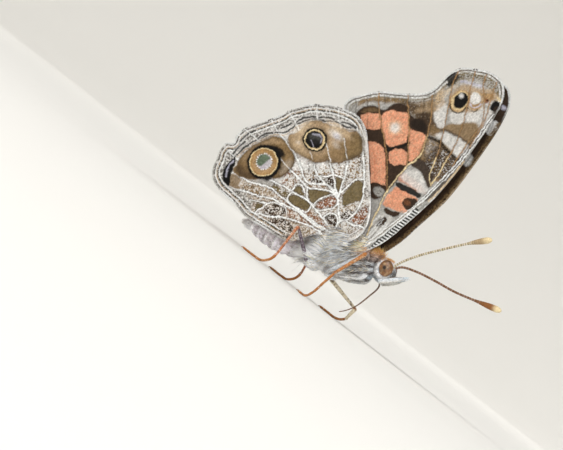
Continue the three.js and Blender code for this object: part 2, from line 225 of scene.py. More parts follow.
def place(name, mesh, material, slot, *nodes):
    """The finished piece: it rides on the root, has the given finish and stands for the nodes. The slot is
    not used.
    """
    mesh.materials.clear()
    mesh.materials.append(material)
    piece = bpy.data.objects.new(name, mesh)
    bpy.context.collection.objects.link(piece)
    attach(piece, "root")
    if nodes:
        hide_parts(*nodes)
    return piece


# Materials

class Value:
    """A number that varies over a surface. Arithmetic on it adds Math nodes."""

    def __init__(self, finish, socket):
        self.finish = finish
        self.socket = socket

    def maths(self, operation, *numbers):
        return self.finish.node("Math", {"operation": operation}, dict(enumerate(numbers)))

    def __add__(self, other):
        return self.maths("ADD", self, other)

    def __sub__(self, other):
        return self.maths("SUBTRACT", self, other)

    def __rsub__(self, other):
        return self.maths("SUBTRACT", other, self)

    def __mul__(self, other):
        return self.maths("MULTIPLY", self, other)

    __radd__ = __add__
    __rmul__ = __mul__


class Finish:
    """A material: its nodes, with a Principled shader at the end."""

    def __init__(self, name, constants):
        self.material = bpy.data.materials.new(name)
        self.material.use_nodes = True
        self.tree = self.material.node_tree
        self.shader = self.tree.nodes["Principled BSDF"]
        for socket, value in constants.items():
            self.shader.inputs[socket].default_value = value

    def node(self, kind, settings, sockets, output=0):
        """Adds a node, sets it and its sockets, and gives back one of its outputs."""
        made = self.tree.nodes.new("ShaderNode" + kind)
        for name, value in settings.items():
            setattr(made, name, value)
        for name, value in sockets.items():
            self.put(made.inputs[name], value)
        return Value(self, made.outputs[output])

    def put(self, socket, value):
        if isinstance(value, Value):
            self.tree.links.new(value.socket, socket)
        elif socket.type == "RGBA":
            socket.default_value = (*value[:3], 1)
        else:
            socket.default_value = value

    def feed(self, **sockets):
        """Links what varies into the shader's own sockets."""
        for name, value in sockets.items():
            self.put(self.shader.inputs[name.replace("_", " ")], value)

    def place(self):
        """Place on the piece, from its own origin."""
        return self.node("TexCoord", {}, {}, "Object")

    def painted(self):
        """The colours stored on the mesh."""
        return self.node("Attribute", {"attribute_name": "paint"}, {}, "Color")

    def noise(self, size, detail=2.0):
        """Soft patches of a given size in metres."""
        return self.node("TexNoise", {}, {"Vector": self.place(), "Scale": 1 / size, "Detail": detail})

    def cells(self, size, output="Distance"):
        """Small cells of a given size in metres."""
        return self.node("TexVoronoi", {}, {"Vector": self.place(), "Scale": 1 / size}, output)

    def mix(self, factor, first, second, blend="MIX"):
        return self.node("Mix", {"data_type": "RGBA", "blend_type": blend},
                         {0: factor, 6: first, 7: second}, 2)

    def shaded(self, colour, amount):
        """A colour made lighter or darker by a value round 1."""
        grey = self.node("CombineColor", {}, {0: amount, 1: amount, 2: amount})
        return self.mix(1.0, colour, grey, "MULTIPLY")

    def bump(self, height, depth):
        """Relief of a given depth in metres."""
        return self.node("Bump", {}, {"Height": height, "Distance": depth, "Strength": 1.0})


# Wings: outlines and veins as (x, z) in millimetres, from the root out

FOREWING_RIM = [(2.6, 8.2), (3.25, 9.5), (4, 11), (4.6, 12.9), (5, 15), (5.45, 17.3), (5.85, 19.8),
    (5.98, 22.5), (5.95, 25), (5.8, 28), (5.6, 30.8), (5.3, 32.7), (4.9, 34.2), (4.2, 35.3),
    (3.3, 36), (2.2, 36.15), (1, 35.95), (-0.2, 35.35), (-1.3, 34.8), (-2.1, 34), (-2.6, 32.9),
    (-2.8, 31.6), (-2.95, 30.3), (-3.5, 29.2), (-4.6, 28.2), (-6.2, 27.15), (-7.8, 26.2), (-9.1, 25.1),
    (-9.9, 24.1), (-10.6, 23.2), (-10.9, 22.2), (-10.5, 21.3), (-7.5, 18), (-3.5, 13.6), (-0.4, 10.4),
    (0.5, 8.6), (1.6, 7.6)]
FOREWING_VEINS = [
    [(2.3, 9.6), (3.2, 12), (3.95, 15), (4.6, 18), (4.95, 21), (5.25, 24), (5.3, 28),
        (5, 33.3)],
    [(2.9, 9.6), (3.75, 12), (4.4, 15), (4.95, 18), (5.3, 21), (5.6, 25), (5.5, 30),
        (5.2, 32.6)],
    [(1.85, 10.8), (1.2, 13), (1, 14), (0.45, 16.3), (0.45, 20.4), (0.9, 22.1), (0.85, 23),
        (0.1, 25.1), (-1, 27.2), (-2.6, 29.5)],
    [(0.35, 16.7), (-1.4, 18.9), (-3, 20.6), (-5.2, 22.5), (-7.4, 24.6), (-8.4, 26)],
    [(0.4, 20.7), (-1.3, 23.1), (-3.3, 25.6), (-4.5, 26.9), (-5.3, 28)],
    [(4.4, 20.5), (3.6, 21.2), (2.8, 23.6), (1.3, 27), (-0.1, 29.6), (-1.4, 32.1), (-2, 33.9)],
    [(4.35, 20.7), (4.35, 21.8), (3.95, 24.5), (3.4, 27.2), (2.2, 30.2), (0.6, 33.3), (-0.2, 35.1)],
    [(5.1, 24), (4.8, 27), (4.6, 30.5), (3.3, 32.6), (1.8, 34.3), (1.2, 35.6)],
    [(5.35, 27), (4.7, 31), (3.5, 33.7), (2.9, 35.6)],
    [(1, 9.6), (-2.5, 13.8), (-6.5, 18.2), (-9.6, 22.7)]]
HINDWING_RIM = [(-0.1, 7.6), (0.4, 8.3), (1, 9.1), (1.4, 10.1), (1.45, 11.2), (1.15, 12.3), (0.6, 13.3),
    (-0.4, 14.6), (-1.7, 16.1), (-3, 17.5), (-4.2, 18.9), (-5.4, 20.1), (-6.5, 21), (-7.6, 21.55),
    (-8.8, 21.7), (-10.2, 21.4), (-11.6, 20.9), (-13, 20.1), (-14.2, 19.3), (-14.9, 18.4), (-15.8, 17.3),
    (-16.4, 16.1), (-17, 15.1), (-17.8, 13.9), (-18.5, 12.9), (-19.1, 12), (-19.4, 10.7), (-19.15, 9.6),
    (-19.85, 9.1), (-20, 8), (-19.6, 6.8), (-19.2, 5.5), (-18.3, 4.5), (-17, 4), (-15.2, 3.85),
    (-13.6, 3.7), (-12.2, 3.4), (-10.6, 3.45), (-8.5, 3.7), (-6.3, 3.95), (-5.2, 4.4), (-4.4, 5.2),
    (-3.7, 6.3), (-2.8, 7.2), (-1.9, 7), (-0.9, 6.8)]
HINDWING_ROOT = (-1.3, 7.6)
TOP = 36.1
FOREWING_OUT = 2.12
FOREWING_BULGE = 0.2
HINDWING_OUT = 3.06
RIM_STEP = 0.1
VEIN_STEP = 0.12
VEIN_FLANK = 0.085
VEIN_FLARE = 0.1
ROW_GAP = 0.866
RIPPLE = 0.05
SCALE_POINTS = 12
SCALE_FACES = 20
EDGE_WAVES = ((0.45, 0.14), (0.1, 0.12))
HINDWING_VEINS = [
    [(-1.9, 8.6), (-1.7, 10.1), (-1.0, 11.1), (-0.9, 12.3), (-1.2, 13.9), (-2.2, 15.5), (-2.9, 16.4),
     (-3.8, 17.4), (-4.9, 18.6), (-6.0, 19.8), (-7.0, 20.5)],
    [(-1.1, 10.6), (0.0, 10.7), (0.6, 11.1), (1.3, 11.2)],
    [(-1.7, 10.1), (-2.9, 11.2), (-3.9, 12.4), (-4.2, 13.2), (-4.6, 14.2), (-5.2, 15.5), (-6.0, 16.8),
     (-7.0, 17.9), (-7.8, 18.6), (-9.6, 19.7), (-10.9, 21.1)],
    [(-3.9, 12.4), (-4.6, 12.8), (-5.3, 13.4), (-6.0, 14.0), (-7.5, 15.15), (-8.6, 16.2), (-11.0, 17.8),
     (-12.2, 18.5), (-13.5, 19.8)],
    [(-3.9, 12.4), (-4.6, 12.75), (-6.2, 12.65), (-8.2, 13.1), (-9.3, 14.1), (-11.3, 15.2), (-13.0, 15.8),
     (-14.1, 16.3), (-15.9, 17.0)],
    [(-3.9, 12.4), (-6.0, 12.6), (-8.2, 11.4), (-9.6, 12.1), (-11.5, 13.1), (-13.9, 13.9), (-15.4, 14.2),
     (-17.2, 14.8)],
    [(-3.9, 12.4), (-5.2, 12.3), (-6.6, 11.5), (-7.8, 10.9), (-8.7, 11.05), (-10.5, 11.25), (-12.0, 11.5),
     (-14.4, 11.7), (-17.0, 11.8), (-19.1, 11.9)],
    [(-2.1, 8.6), (-3.2, 8.9), (-4.9, 9.3), (-6.9, 9.6), (-8.5, 9.45), (-10.3, 9.2), (-12.3, 8.75),
     (-15.0, 8.4), (-17.6, 8.35), (-19.0, 8.4)],
    [(-2.4, 8.2), (-5.0, 8.0), (-9.8, 8.0), (-11.8, 8.0), (-12.8, 7.6), (-14.0, 7.15), (-16.2, 6.7),
     (-18.0, 6.4)],
    [(-2.9, 7.9), (-5.0, 7.75), (-7.0, 7.8), (-9.0, 7.4), (-10.6, 7.05), (-12.3, 6.3), (-14.0, 5.7),
     (-15.0, 5.3), (-16.3, 5.0)],
    [(-2.8, 7.5), (-4.6, 7.3), (-6.4, 6.7), (-7.9, 6.1), (-9.3, 5.2), (-10.3, 4.8), (-11.2, 4.3),
     (-12.5, 3.9)],
]


def forewing_out(x, z):
    """Distance of a forewing's middle from the body's middle plane."""
    return FOREWING_OUT + FOREWING_BULGE * np.sin(np.pi * z / TOP)


def hindwing_out(x, z):
    """Distance of a hindwing's middle from the body's middle plane."""
    from_root = np.hypot(x - HINDWING_ROOT[0], z - HINDWING_ROOT[1])
    return HINDWING_OUT - 0.95 * ease(from_root, 2.8, 0.3) - 0.5 * ease(-x, 11, 20)


class Painting:
    """Colours laid shape over shape on points of a wing's face, with the ragged edges that scales give."""

    def __init__(self, points, colours, ground, seed, free):
        self.points = points
        self.colours = colours
        self.free = free
        self.from_rim = None
        self.ragged = points
        for i, (size, sway) in enumerate(EDGE_WAVES):
            waves = [patches(points, size, seed + 2 * i + j) - 0.5 for j in (0, 1)]
            self.ragged = self.ragged + np.stack(waves, 1) * sway
        self.shade = np.tile(linear(getattr(colours, ground)), (len(points), 1))
        self.speckles = patches(points, 0.12, seed + 9)

    def lay(self, colour, part, amount):
        self.shade[part] += (linear(getattr(self.colours, colour)) - self.shade[part]) * amount[:, None]

    def near(self, outline, margin):
        low, high = np.min(outline, 0) - margin, np.max(outline, 0) + margin
        return np.flatnonzero(((self.ragged > low) & (self.ragged < high)).all(1))

    def fill(self, colour, outline, soft=0.07, amount=1.0, speckle=0.0, sharp=False):
        """A closed shape. Speckle leaves that share of it bare, in small flecks."""
        edge = np.array(outline, float) if sharp else smooth_route(outline, 0.3, True)
        part = self.near(edge, soft * 2)
        if not len(part):
            return
        at = self.ragged[part]
        depth = distance_to(at, np.vstack([edge, edge[:1]]),
            soft + 0.01) * np.where(inside(at, edge), 1, -1)
        share = ease(depth, -soft, soft) * amount
        if speckle:
            share = share * ease(self.speckles[part], speckle - 0.12, speckle + 0.12)
        self.lay(colour, part, share)

    def line(self, colour, points, width=0.12, soft=0.04, amount=1.0, broken=0.0, even=False):
        """A line that narrows a little here and there, or breaks up."""
        route = smooth_route(points, 0.25)
        part = self.near(route, width + soft)
        if not len(part):
            return
        at = self.points[part] if even else self.ragged[part]
        share = ease(distance_to(at, route, width / 2 + soft), width / 2 + soft, width / 2 - soft) * amount
        if broken:
            share = share * ease(self.speckles[part], broken - 0.15, broken + 0.15)
        self.lay(colour, part, share)

    def spot(self, colour, centre, half, soft=0.06, amount=1.0):
        """An ellipse."""
        part = self.near(np.array([centre]), max(half) * (1 + soft) + soft * 2)
        away = np.linalg.norm((self.ragged[part] - centre) / half, axis=1)
        soft = soft / min(half)
        self.lay(colour, part, ease(away, 1 + soft, 1 - soft) * amount)

    def band(self, colour, rim, low, high, amount=1.0, broken=0.0):
        """A band along the free edge of the wing, between two distances from the rim."""
        if self.from_rim is None:
            edge = smooth_route(rim, 0.15, True)
            self.from_rim = distance_to((self.points + self.ragged) / 2, np.vstack([edge, edge[:1]]), 1.3)
        share = ease(self.from_rim, low - 0.05, low + 0.03) * ease(self.from_rim, high + 0.05, high - 0.03)
        share = share * self.free * amount
        if broken:
            share = share * ease(self.speckles, broken - 0.15, broken + 0.15)
        self.lay(colour, np.arange(len(self.points)), share)

    def done(self):
        """The colours with the uneven shade that rows of scales have."""
        rows = patches(self.points * (1.0, 0.55), 0.12, 31)
        broad = patches(self.points, 0.9, 37)
        light = 1 + (rows - 0.5) * 0.5 + (broad - 0.5) * 0.12
        return np.clip(self.shade * light[:, None], 0, 1)


def tree_of(points):
    """A search tree of points in the plane."""
    tree = KDTree(len(points))
    for i, point in enumerate(points):
        tree.insert((*point, 0), i)
    tree.balance()
    return tree


def wing_plan(rim_points, veins, step):
    """Points and triangles of a wing in its plane; the rim comes first, and points run along the veins."""
    rim = smooth_route(rim_points, RIM_STEP, True)
    crests = [smooth_route(vein, VEIN_STEP) for vein in veins]
    flanks = []
    for crest in crests:
        run = np.gradient(crest, axis=0)
        across = np.stack([-run[:, 1], run[:, 0]], 1) / np.linalg.norm(run, axis=1)[:, None]
        flanks += [crest + across * VEIN_FLANK, crest - across * VEIN_FLANK]
    low, high = rim.min(0), rim.max(0)
    rows = np.arange(low[1], high[1], step * ROW_GAP)
    field = np.array([(x, z) for i, z in enumerate(rows)
                      for x in np.arange(low[0] + (i % 2) * step / 2, high[0], step)])
    kept = list(rim)
    for group, room in ((np.vstack(crests), 0.06), (np.vstack(flanks), 0.05), (field, step * 0.62)):
        taken = tree_of(kept)
        kept += [point for point in group[inside(group, rim)] if taken.find((*point, 0))[2] > room]
    count = len(rim)
    edges = [(i, (i + 1) % count) for i in range(count)]
    made = geometry.delaunay_2d_cdt([Vector(p) for p in kept], edges, [], 1, 1e-7)
    points = np.array(made[0])
    order = np.array([source[0] if source else -1 for source in made[3]])
    on_rim = (order >= 0) & (order < count)
    closed = np.vstack([rim, rim[:1]])
    to_vein = np.min([distance_to(points, crest, 1.0) for crest in crests], 0)
    return points, np.array(made[2]), on_rim, rim, crests, to_vein, distance_to(points, closed, 2.6)


def wing_mesh(name, plan, out, side, sizes, outer, inner, fringe_colours, margin):
    """A wing's mesh: two faces that meet at the rim, and the fringe of scales along its free edge."""
    points, triangles, on_rim, rim, crests, to_vein, to_rim = plan
    mm = 1 / MILLIMETRE
    rise = sizes.vein_rise * mm * np.exp(-(to_vein / VEIN_FLARE) ** 2)
    sink = sizes.hollow * mm * ease(to_vein, 0.05, 0.8) * ease(to_rim, 0.0, 0.6)
    ripple = RIPPLE * np.sin(points[:, 0] * 1.1 + points[:, 1] * 0.7) * ease(to_rim, 2.5, 0.0)
    middle = out(points[:, 0], points[:, 1]) - sink + ripple
    half = np.where(on_rim, 0, (sizes.thickness * mm / 2) * ease(to_rim, -0.1, 0.25) + rise)
    count = len(points)
    back_of = np.where(on_rim, np.arange(count), count + np.cumsum(~on_rim) - 1)
    front = np.stack([points[:, 0], side * (middle + half), points[:, 1]], 1)
    back = np.stack([points[:, 0], side * (middle - half), points[:, 1]], 1)[~on_rim]
    faces = np.vstack([triangles, back_of[triangles][:, ::-1]])
    if side > 0:
        faces = faces[:, ::-1]
    reach = max(np.ptp(rim[:, 0]), np.ptp(rim[:, 1])) + 1
    flat = (points - rim.min(0) + 0.5) / (2 * reach)
    map_front = flat[triangles]
    map_back = (flat + (0.5, 0))[triangles][:, ::-1]
    corner_uv = np.vstack([map_front, map_back])
    if side > 0:
        corner_uv = corner_uv[:, ::-1]
    scales, scale_faces, scale_colours, scale_uv = fringe(rim, margin, crests, out, side, sizes,
        fringe_colours, lambda at: (at - rim.min(0) + 0.5) / (2 * reach))
    offset = count + len(back)
    return mesh_from(
        name,
        np.vstack([front, back, scales]),
        np.vstack([faces, scale_faces + offset]),
        np.vstack([outer, inner[~on_rim], scale_colours]),
        np.vstack([corner_uv.reshape(-1, 2), scale_uv]),
    )


def fringe(rim, margin, crests, out, side, sizes, colours, unwrapped):
    """Scales that stand out along the free edge, dark where a vein ends."""
    mm = 1 / MILLIMETRE
    draw = random.Random(11)
    ends = np.array([crest[-1] for crest in crests])
    closed = smooth_route(rim, 0.045, True)
    centre = rim.mean(0)
    points, faces, shades, maps = [], [], [], []
    for here, ahead in zip(closed, np.roll(closed, -1, 0)):
        if not margin(*here):
            continue
        along = (ahead - here) / max(np.linalg.norm(ahead - here), 1e-9)
        away = np.array([along[1], -along[0]])
        if away @ (here - centre) < 0:
            away = -away
        to_end = np.min(np.linalg.norm(ends - here, axis=1))
        size = sizes.fringe * mm * draw.uniform(0.65, 1.1)
        lean = draw.uniform(-0.35, 0.35)
        way = away + along * lean
        wide = along * sizes.scale_width * mm * draw.uniform(0.35, 0.55)
        depth = out(here[0], here[1])
        jitter = draw.uniform(-0.04, 0.04)
        root = here - away * 0.16
        start = len(points)
        for share, width, thick in ((0, 1, 0.02), (0.72, 0.8, 0.015), (1, 0.12, 0.008)):
            spot = root + way * size * share
            for sign in (1, -1):
                for face in (1, -1):
                    x, z = spot + wide * width * sign
                    points.append((x, side * (depth + jitter * share + thick * face), z))
        for ring in (0, 4):
            a = start + ring
            for p, q in ((0, 1), (1, 3), (3, 2), (2, 0)):
                faces += [(a + p, a + q, a + q + 4), (a + p, a + q + 4, a + p + 4)]
        faces += [(start, start + 2, start + 3), (start, start + 3, start + 1)]
        end = start + 8
        faces += [(end, end + 1, end + 3), (end, end + 3, end + 2)]
        dark = to_end < 0.38 and draw.random() < 0.75
        shade = linear(colours.umber if dark else colours.white) * draw.uniform(0.75, 1.0)
        shades += [shade] * SCALE_POINTS
        u, v = unwrapped(root + away * 0.1)
        maps += [(u, v), (u + TUFT_PATCH / 2, v), (u, v + TUFT_PATCH / 2)] * SCALE_FACES
    points, faces = np.array(points), np.array(faces)
    if signed_volume(points, faces) < 0:
        faces = faces[:, ::-1]
    return points, faces, np.array(shades), np.array(maps)


def signed_volume(points, faces):
    """Volume within the faces, negative where they point inwards."""
    a, b, c = (points[faces[:, i]] - points.mean(0) for i in range(3))
    return float((a * np.cross(b, c)).sum() / 6)


# Patterns, drawn shape by shape in the wing's plane, in millimetres

def hindwing_free(points):
    """1 along the free edge of a hindwing, 0 at its root and leading edge."""
    return ease(-points[:, 0], 5.6, 7.2)


def hindwing_underside(points, colours):
    """Two eyespots in brown fields, scalloped lines along the margin, and netted cells near the root."""
    wing = Painting(points, colours, "pale", 5, hindwing_free(points))
    paint_root_cells(wing)
    paint_scallops(wing)
    paint_small_field(wing)
    paint_large_field(wing)
    return wing.done()


def paint_root_cells(wing):
    """The root half: dark cells in a white net, with the veins edged in brown."""
    fill, line = wing.fill, wing.line
    fill("rust", [(-4.9, 18.2), (-7.2, 15), (-11, 13.3), (-10.8, 9.5), (-5, 12.8),
        (-3.4, 15.8)], 0.3, 0.9, 0.6)
    fill("white", [(-5.4, 17.9), (-7.2, 15), (-10.8, 13.3), (-10.9, 11.6), (-8.8, 12.8),
        (-5.6, 15.2)], 0.3, 0.6, 0.3)
    fill("grey", [(-8.8, 13.6), (-6.6, 13.4), (-4.6, 15.4), (-4.9, 17.6), (-3.4, 16.4), (-4.2, 13.6),
        (-9.6, 12.2)], 0.3, 0.6, 0.45)
    fill("brown", [(-6.2, 17.6), (-4.2, 18.6), (-1.4, 15), (0.9, 12.6), (0.9, 9.6), (-1.4, 8.6),
        (-3.2, 7), (-5.6, 4.6), (-9, 4.2), (-14.6, 4.6), (-14.4, 6.8), (-10.8, 8.8), (-10.4, 11.4),
        (-8.6, 12.9)], 0.5, 0.9, 0.62)
    fill("tan", [(-15.4, 6.6), (-11, 8.6), (-3.2, 8.8), (-2.6, 7.4), (-5.4, 4.2),
        (-14, 4.3)], 0.3, 0.6, 0.35)
    fill("umber", [(-14.6, 6.4), (-3.2, 8.4), (-2.6, 7.4), (-5.4, 4.4), (-13.4, 4.6)], 0.3, 0.45, 0.62)
    fill("rust", [(-9.6, 7.8), (-3, 8.9), (-3, 8), (-5, 7.2), (-9, 6.9)], 0.2, 0.7, 0.5)
    fill("umber", [(-4.6, 18.6), (-2, 15.8), (-0.4, 14.8), (-1, 14.2), (-2.4, 16),
        (-5.2, 18)], 0.2, 0.6, 0.45)
    # Cells of the root half
    cells = [
        ("olive", 0.0, [(-2.7, 15.7), (-2.2, 15.3), (-1.8, 14.6), (-1.3, 14), (-1.35, 13.5),
            (-1.75, 13.3), (-1.9, 12.8), (-2.3, 12.3), (-2.7, 11.8), (-3.1, 12.2), (-3.6, 12.9),
            (-3.6, 13.8), (-3.45, 14.8), (-3.2, 15.4)]),
        ("rust", 0.45, [(-0.1, 13.7), (0.3, 13.2), (0.6, 12.5), (0.75, 11.9), (0.5, 11.3), (0, 11),
            (-0.6, 10.9), (-0.8, 11.3), (-0.7, 12.2), (-0.5, 13)]),
        ("umber", 0.5, [(-1.1, 12.1), (-1, 11.3), (-1.5, 10.6), (-1.8, 10.5), (-2.2, 11), (-1.9, 11.7)]),
        ("olive", 0.0, [(-5.6, 14.15), (-5, 14.2), (-4.6, 14), (-4.2, 13), (-4.3, 12.8), (-4.8, 13),
            (-5.3, 13.6)]),
        ("umber", 0.35, [(-6.7, 13.1), (-6.4, 13.7), (-6, 13.8), (-5.3, 13.2), (-4.9, 12.9), (-5.6, 12.8),
            (-6.2, 12.85)]),
        ("umber", 0.45, [(-8.3, 12), (-7.6, 12.4), (-6.9, 12.9), (-6.3, 12.75), (-6.9, 12.3),
            (-7.7, 11.8)]),
        ("olive", 0.0, [(-7.65, 10.9), (-6.8, 11.3), (-5.8, 12), (-4.9, 12.1), (-5.2, 11.4), (-5.6, 10.4),
            (-5.9, 9.8), (-6.6, 9.9), (-7.3, 10.4)]),
        ("rust", 0.3, [(-4.5, 12), (-4, 12), (-3.7, 11.6), (-3.75, 11), (-4.3, 10.4), (-4.9, 9.75),
            (-5.5, 9.8), (-5.5, 10.3), (-5.2, 11), (-4.9, 11.6)]),
        ("olive", 0.1, [(-9, 10.4), (-8.6, 10.4), (-7.9, 10.1), (-7.2, 9.6), (-8.9, 9.6)]),
        ("olive", 0.0, [(-8.4, 9.3), (-6.2, 9.5), (-6, 9.2), (-6.1, 8.6), (-6.6, 8.4), (-8, 8.15),
            (-8.8, 8.25), (-8.9, 8.7)]),
        ("umber", 0.3, [(-3.7, 9.3), (-3.4, 9.9), (-2.9, 10.2), (-2.2, 9.9), (-2, 9.4), (-2.1, 8.95),
            (-2.7, 9.1)]),
        ("umber", 0.45, [(-8.2, 6.9), (-8.7, 7.05), (-9.4, 6.9), (-10.2, 6.4), (-10.4, 6), (-10.7, 5),
            (-10.9, 4.7), (-9.9, 4.9), (-9, 5.5), (-8.2, 6.1)]),
        ("olive", 0.1, [(-11, 6), (-11.8, 5.4), (-11.7, 5.2), (-11.3, 4.5), (-11.1, 4.6),
            (-10.95, 5.5)]),
        ("umber", 0.5, [(-6.8, 6.1), (-6, 5.7), (-5.6, 4.6), (-5.9, 4), (-8, 4), (-9.2, 4.6),
            (-8.2, 5.7)]),
        ("brown", 0.5, [(-14.6, 6.5), (-13.9, 6.7), (-12.3, 6.7), (-12, 6.3), (-13.2, 6), (-14.4, 5.9)]),
        ("olive", 0.35, [(-10.7, 8.7), (-9.2, 8.9), (-9.1, 8.3), (-10.4, 8.2), (-11.4, 8.2), (-11.5, 8.8)])]
    for colour, speckle, outline in cells:
        fill(colour, outline, 0.06, 0.96, speckle)
        line("umber", outline + outline[:1], 0.12, 0.06, 0.55, 0.2)
    fill("grey", [(-13, 8.1), (-11.8, 8.6), (-11.7, 8.1), (-12.6, 7.7), (-14, 7.3),
        (-14.7, 7)], 0.2, 0.9)
    line("black", [(-6.4, 12.42), (-4.8, 12.6), (-4.1, 12.5)], 0.1, 0.04, 0.75)
    line("rust", [(-5.3, 8.4), (-4, 8.6), (-2.7, 8.35)], 0.18, 0.08, 0.7, 0.25)
    line("rust", [(-7.7, 6.75), (-7.3, 6.6)], 0.2, 0.08, 0.7)
    line("rust", [(-10.5, 10.4), (-10.7, 9.3)], 0.14, 0.06, 0.7, 0.3)
    line("rust", [(-9.4, 10.8), (-9.7, 9.6)], 0.12, 0.06, 0.6, 0.3)
    line("ink", [(-11.6, 7.8), (-10.8, 7.95), (-9.9, 8.05)], 0.1, 0.05, 0.8)
    line("umber", [(-11.5, 8), (-11.55, 8.5), (-11.2, 8.9)], 0.1, 0.05, 0.7)
    line("brown", [(-13.2, 5.3), (-12.7, 5.8), (-12.1, 5.4), (-12.5, 5.2), (-13.1, 5.3)], 0.1, 0.05, 0.7)
    line("brown", [(-13.5, 4.6), (-12.6, 4.9), (-11.6, 4.1)], 0.12, 0.06, 0.5, 0.3)
    for mark in ([(-4.4, 17.65), (-4.7, 17.2)], [(-3.9, 16.6), (-4.2, 17.1)], [(-4.6, 15.4), (-4.4, 14.6)],
            [(-4.1, 14.1), (-4, 13.5)], [(-8.9, 12.6), (-9.7, 13.5)]):
        line("umber", mark, 0.16, 0.08, 0.6, 0.3)
    # Leading edge: white rims with a mauve strip between them
    line("umber", [(-0.2, 8.9), (0.4, 9.7), (0.8, 10.9), (0.7, 12.3)], 0.5, 0.15, 0.55, 0.4)
    line("rust", [(0.05, 9.1), (0.5, 10), (1, 10.9)], 0.2, 0.08, 0.6)
    line("white", [(-0.5, 8.1), (0.3, 8.3), (0.9, 8.9), (1.3, 9.9), (1.45, 11), (1, 12.3), (0.5, 13.3),
        (-0.4, 14.6)], 0.2, 0.06)
    line("white", [(-0.3, 8.7), (0.3, 9.5), (0.7, 10.4), (0.9, 11.2)], 0.13, 0.05)
    # Veins and the white net across the cells
    net = [[(-4.9, 14.5), (-5.9, 14.25), (-6.7, 13.5), (-8, 12.6)],
        [(-4.9, 12.3), (-4.2, 12.25), (-3.5, 11.8), (-3.5, 11), (-4.1, 10.2), (-4.8, 9.5), (-5.7, 9.55),
            (-5.75, 10.4), (-5.3, 11.3), (-4.9, 12)],
        [(-7.8, 10.9), (-7.5, 10.4), (-6.9, 9.8), (-6, 9.6)],
        [(-9.1, 9.5), (-9.2, 10.5), (-8.5, 10.65), (-7.6, 10.2)],
        [(-6, 9.5), (-5.8, 8.9), (-6, 8.3), (-6.6, 8.2), (-8.6, 8), (-9.1, 8.6), (-8.9, 9.4)],
        [(-8, 6.8), (-8.3, 7.15), (-9.4, 7.1), (-10.4, 6.6), (-10.8, 5.6), (-11.2, 4.5)],
        [(-2.8, 7.5), (-3.6, 6.5), (-4.1, 5.6), (-4.6, 5)],
        [(-10.5, 6.4), (-12, 5.6), (-13, 5), (-14, 4.1)],
        [(-4, 13), (-3.8, 13.9), (-3.6, 14.9), (-3.2, 15.7), (-2.6, 16)],
        [(-3.8, 9.2), (-3.6, 10), (-2.9, 10.4), (-2.1, 10.1), (-1.8, 9.4)],
        [(-5.7, 3.9), (-7, 3.85), (-9, 3.9), (-11, 3.8)]]
    for thread in net:
        line("umber", thread, 0.36, 0.08, 0.65, 0.2)
    for vein in HINDWING_VEINS:
        line("umber", vein, 0.44, 0.09, 0.6, 0.25)
    for thread in net:
        line("white", thread, 0.15, 0.04, 1.0)
    for vein in HINDWING_VEINS:
        line("white", vein, 0.19, 0.04, 1.0)


def paint_scallops(wing):
    """The margin: a mottled edge, then scalloped ink lines with cool bands between them."""
    line = wing.line
    outer_band = [(-8.4, 20.9), (-11.2, 20.1), (-13.8, 18.4), (-15.6, 15.8), (-17.3, 12.6), (-18.2, 10.6),
        (-18.7, 8.4), (-18.2, 6.6), (-17.2, 5.3), (-15.6, 4.6), (-13, 4.3)]
    line("pale", outer_band, 1.9, 0.25, 0.6)
    line("grey", outer_band, 2.4, 0.4, 0.9, 0.35)
    line("umber", outer_band, 2.2, 0.4, 0.7, 0.56)
    for colour, low, high, amount, broken in (("grey", 0.0, 0.22, 0.8, 0.4),
            ("umber", 0.2, 0.32, 0.85, 0.25), ("white", 0.36, 0.5, 0.8, 0.3),
            ("tan", 0.5, 0.64, 0.75, 0.35), ("ink", 0.66, 0.8, 0.9, 0.25), ("white", 0.84, 0.98, 0.8, 0.2)):
        wing.band(colour, HINDWING_RIM, low, high, amount, broken)
    lines_outer = [[(-7.6, 20.5), (-8.3, 20.4), (-8.9, 20.3), (-9.5, 19.95)],
        [(-10.6, 19.6), (-11.3, 19.4), (-11.8, 19.1), (-12.2, 18.6)],
        [(-12.6, 18.5), (-13.2, 18.1), (-13.8, 17.5), (-14.1, 17), (-14.2, 16.5)],
        [(-14.7, 16), (-15, 15.3), (-15.3, 14.7)],
        [(-15.9, 13.6), (-16.5, 13.1), (-16.8, 12.6), (-16.9, 12)],
        [(-17.9, 12.6), (-18.3, 11.9), (-18.5, 11), (-18.6, 10.3)],
        [(-18.1, 10.6), (-18.2, 10.1), (-18.3, 9.3), (-18.3, 8.2)]]
    line_inner = [(-7.9, 20.3), (-8.9, 19.75), (-9.6, 19.7), (-10.3, 19.5), (-11, 19.05), (-11.5, 18.7),
        (-12.1, 18.5), (-12.9, 18), (-13.4, 17.4), (-13.8, 16.6), (-14.1, 16.2), (-14.2, 15.7),
        (-14.4, 15.1), (-14.7, 14.5), (-15.5, 14), (-16, 13.5), (-16.4, 12.8), (-16.7, 12.1),
        (-17.1, 11.5), (-17.3, 11), (-17.4, 10.6), (-17.7, 10), (-17.75, 9.2), (-17.8, 8.7)]
    line("pale", line_inner, 0.6, 0.12, 0.6, 0.3)
    line("black", line_inner, 0.22, 0.05, 0.9)
    line("tan", [(x + 0.22, z - 0.2) for x, z in line_inner], 0.14, 0.06, 0.8, 0.2)
    for scallop in lines_outer:
        line("pale", scallop, 0.5, 0.08, 0.6, 0.3)
        line("black", scallop, 0.24, 0.05, 0.9)
    for vein in HINDWING_VEINS:
        line("white", vein[-3:], 0.15, 0.06, 0.7, 0.35)


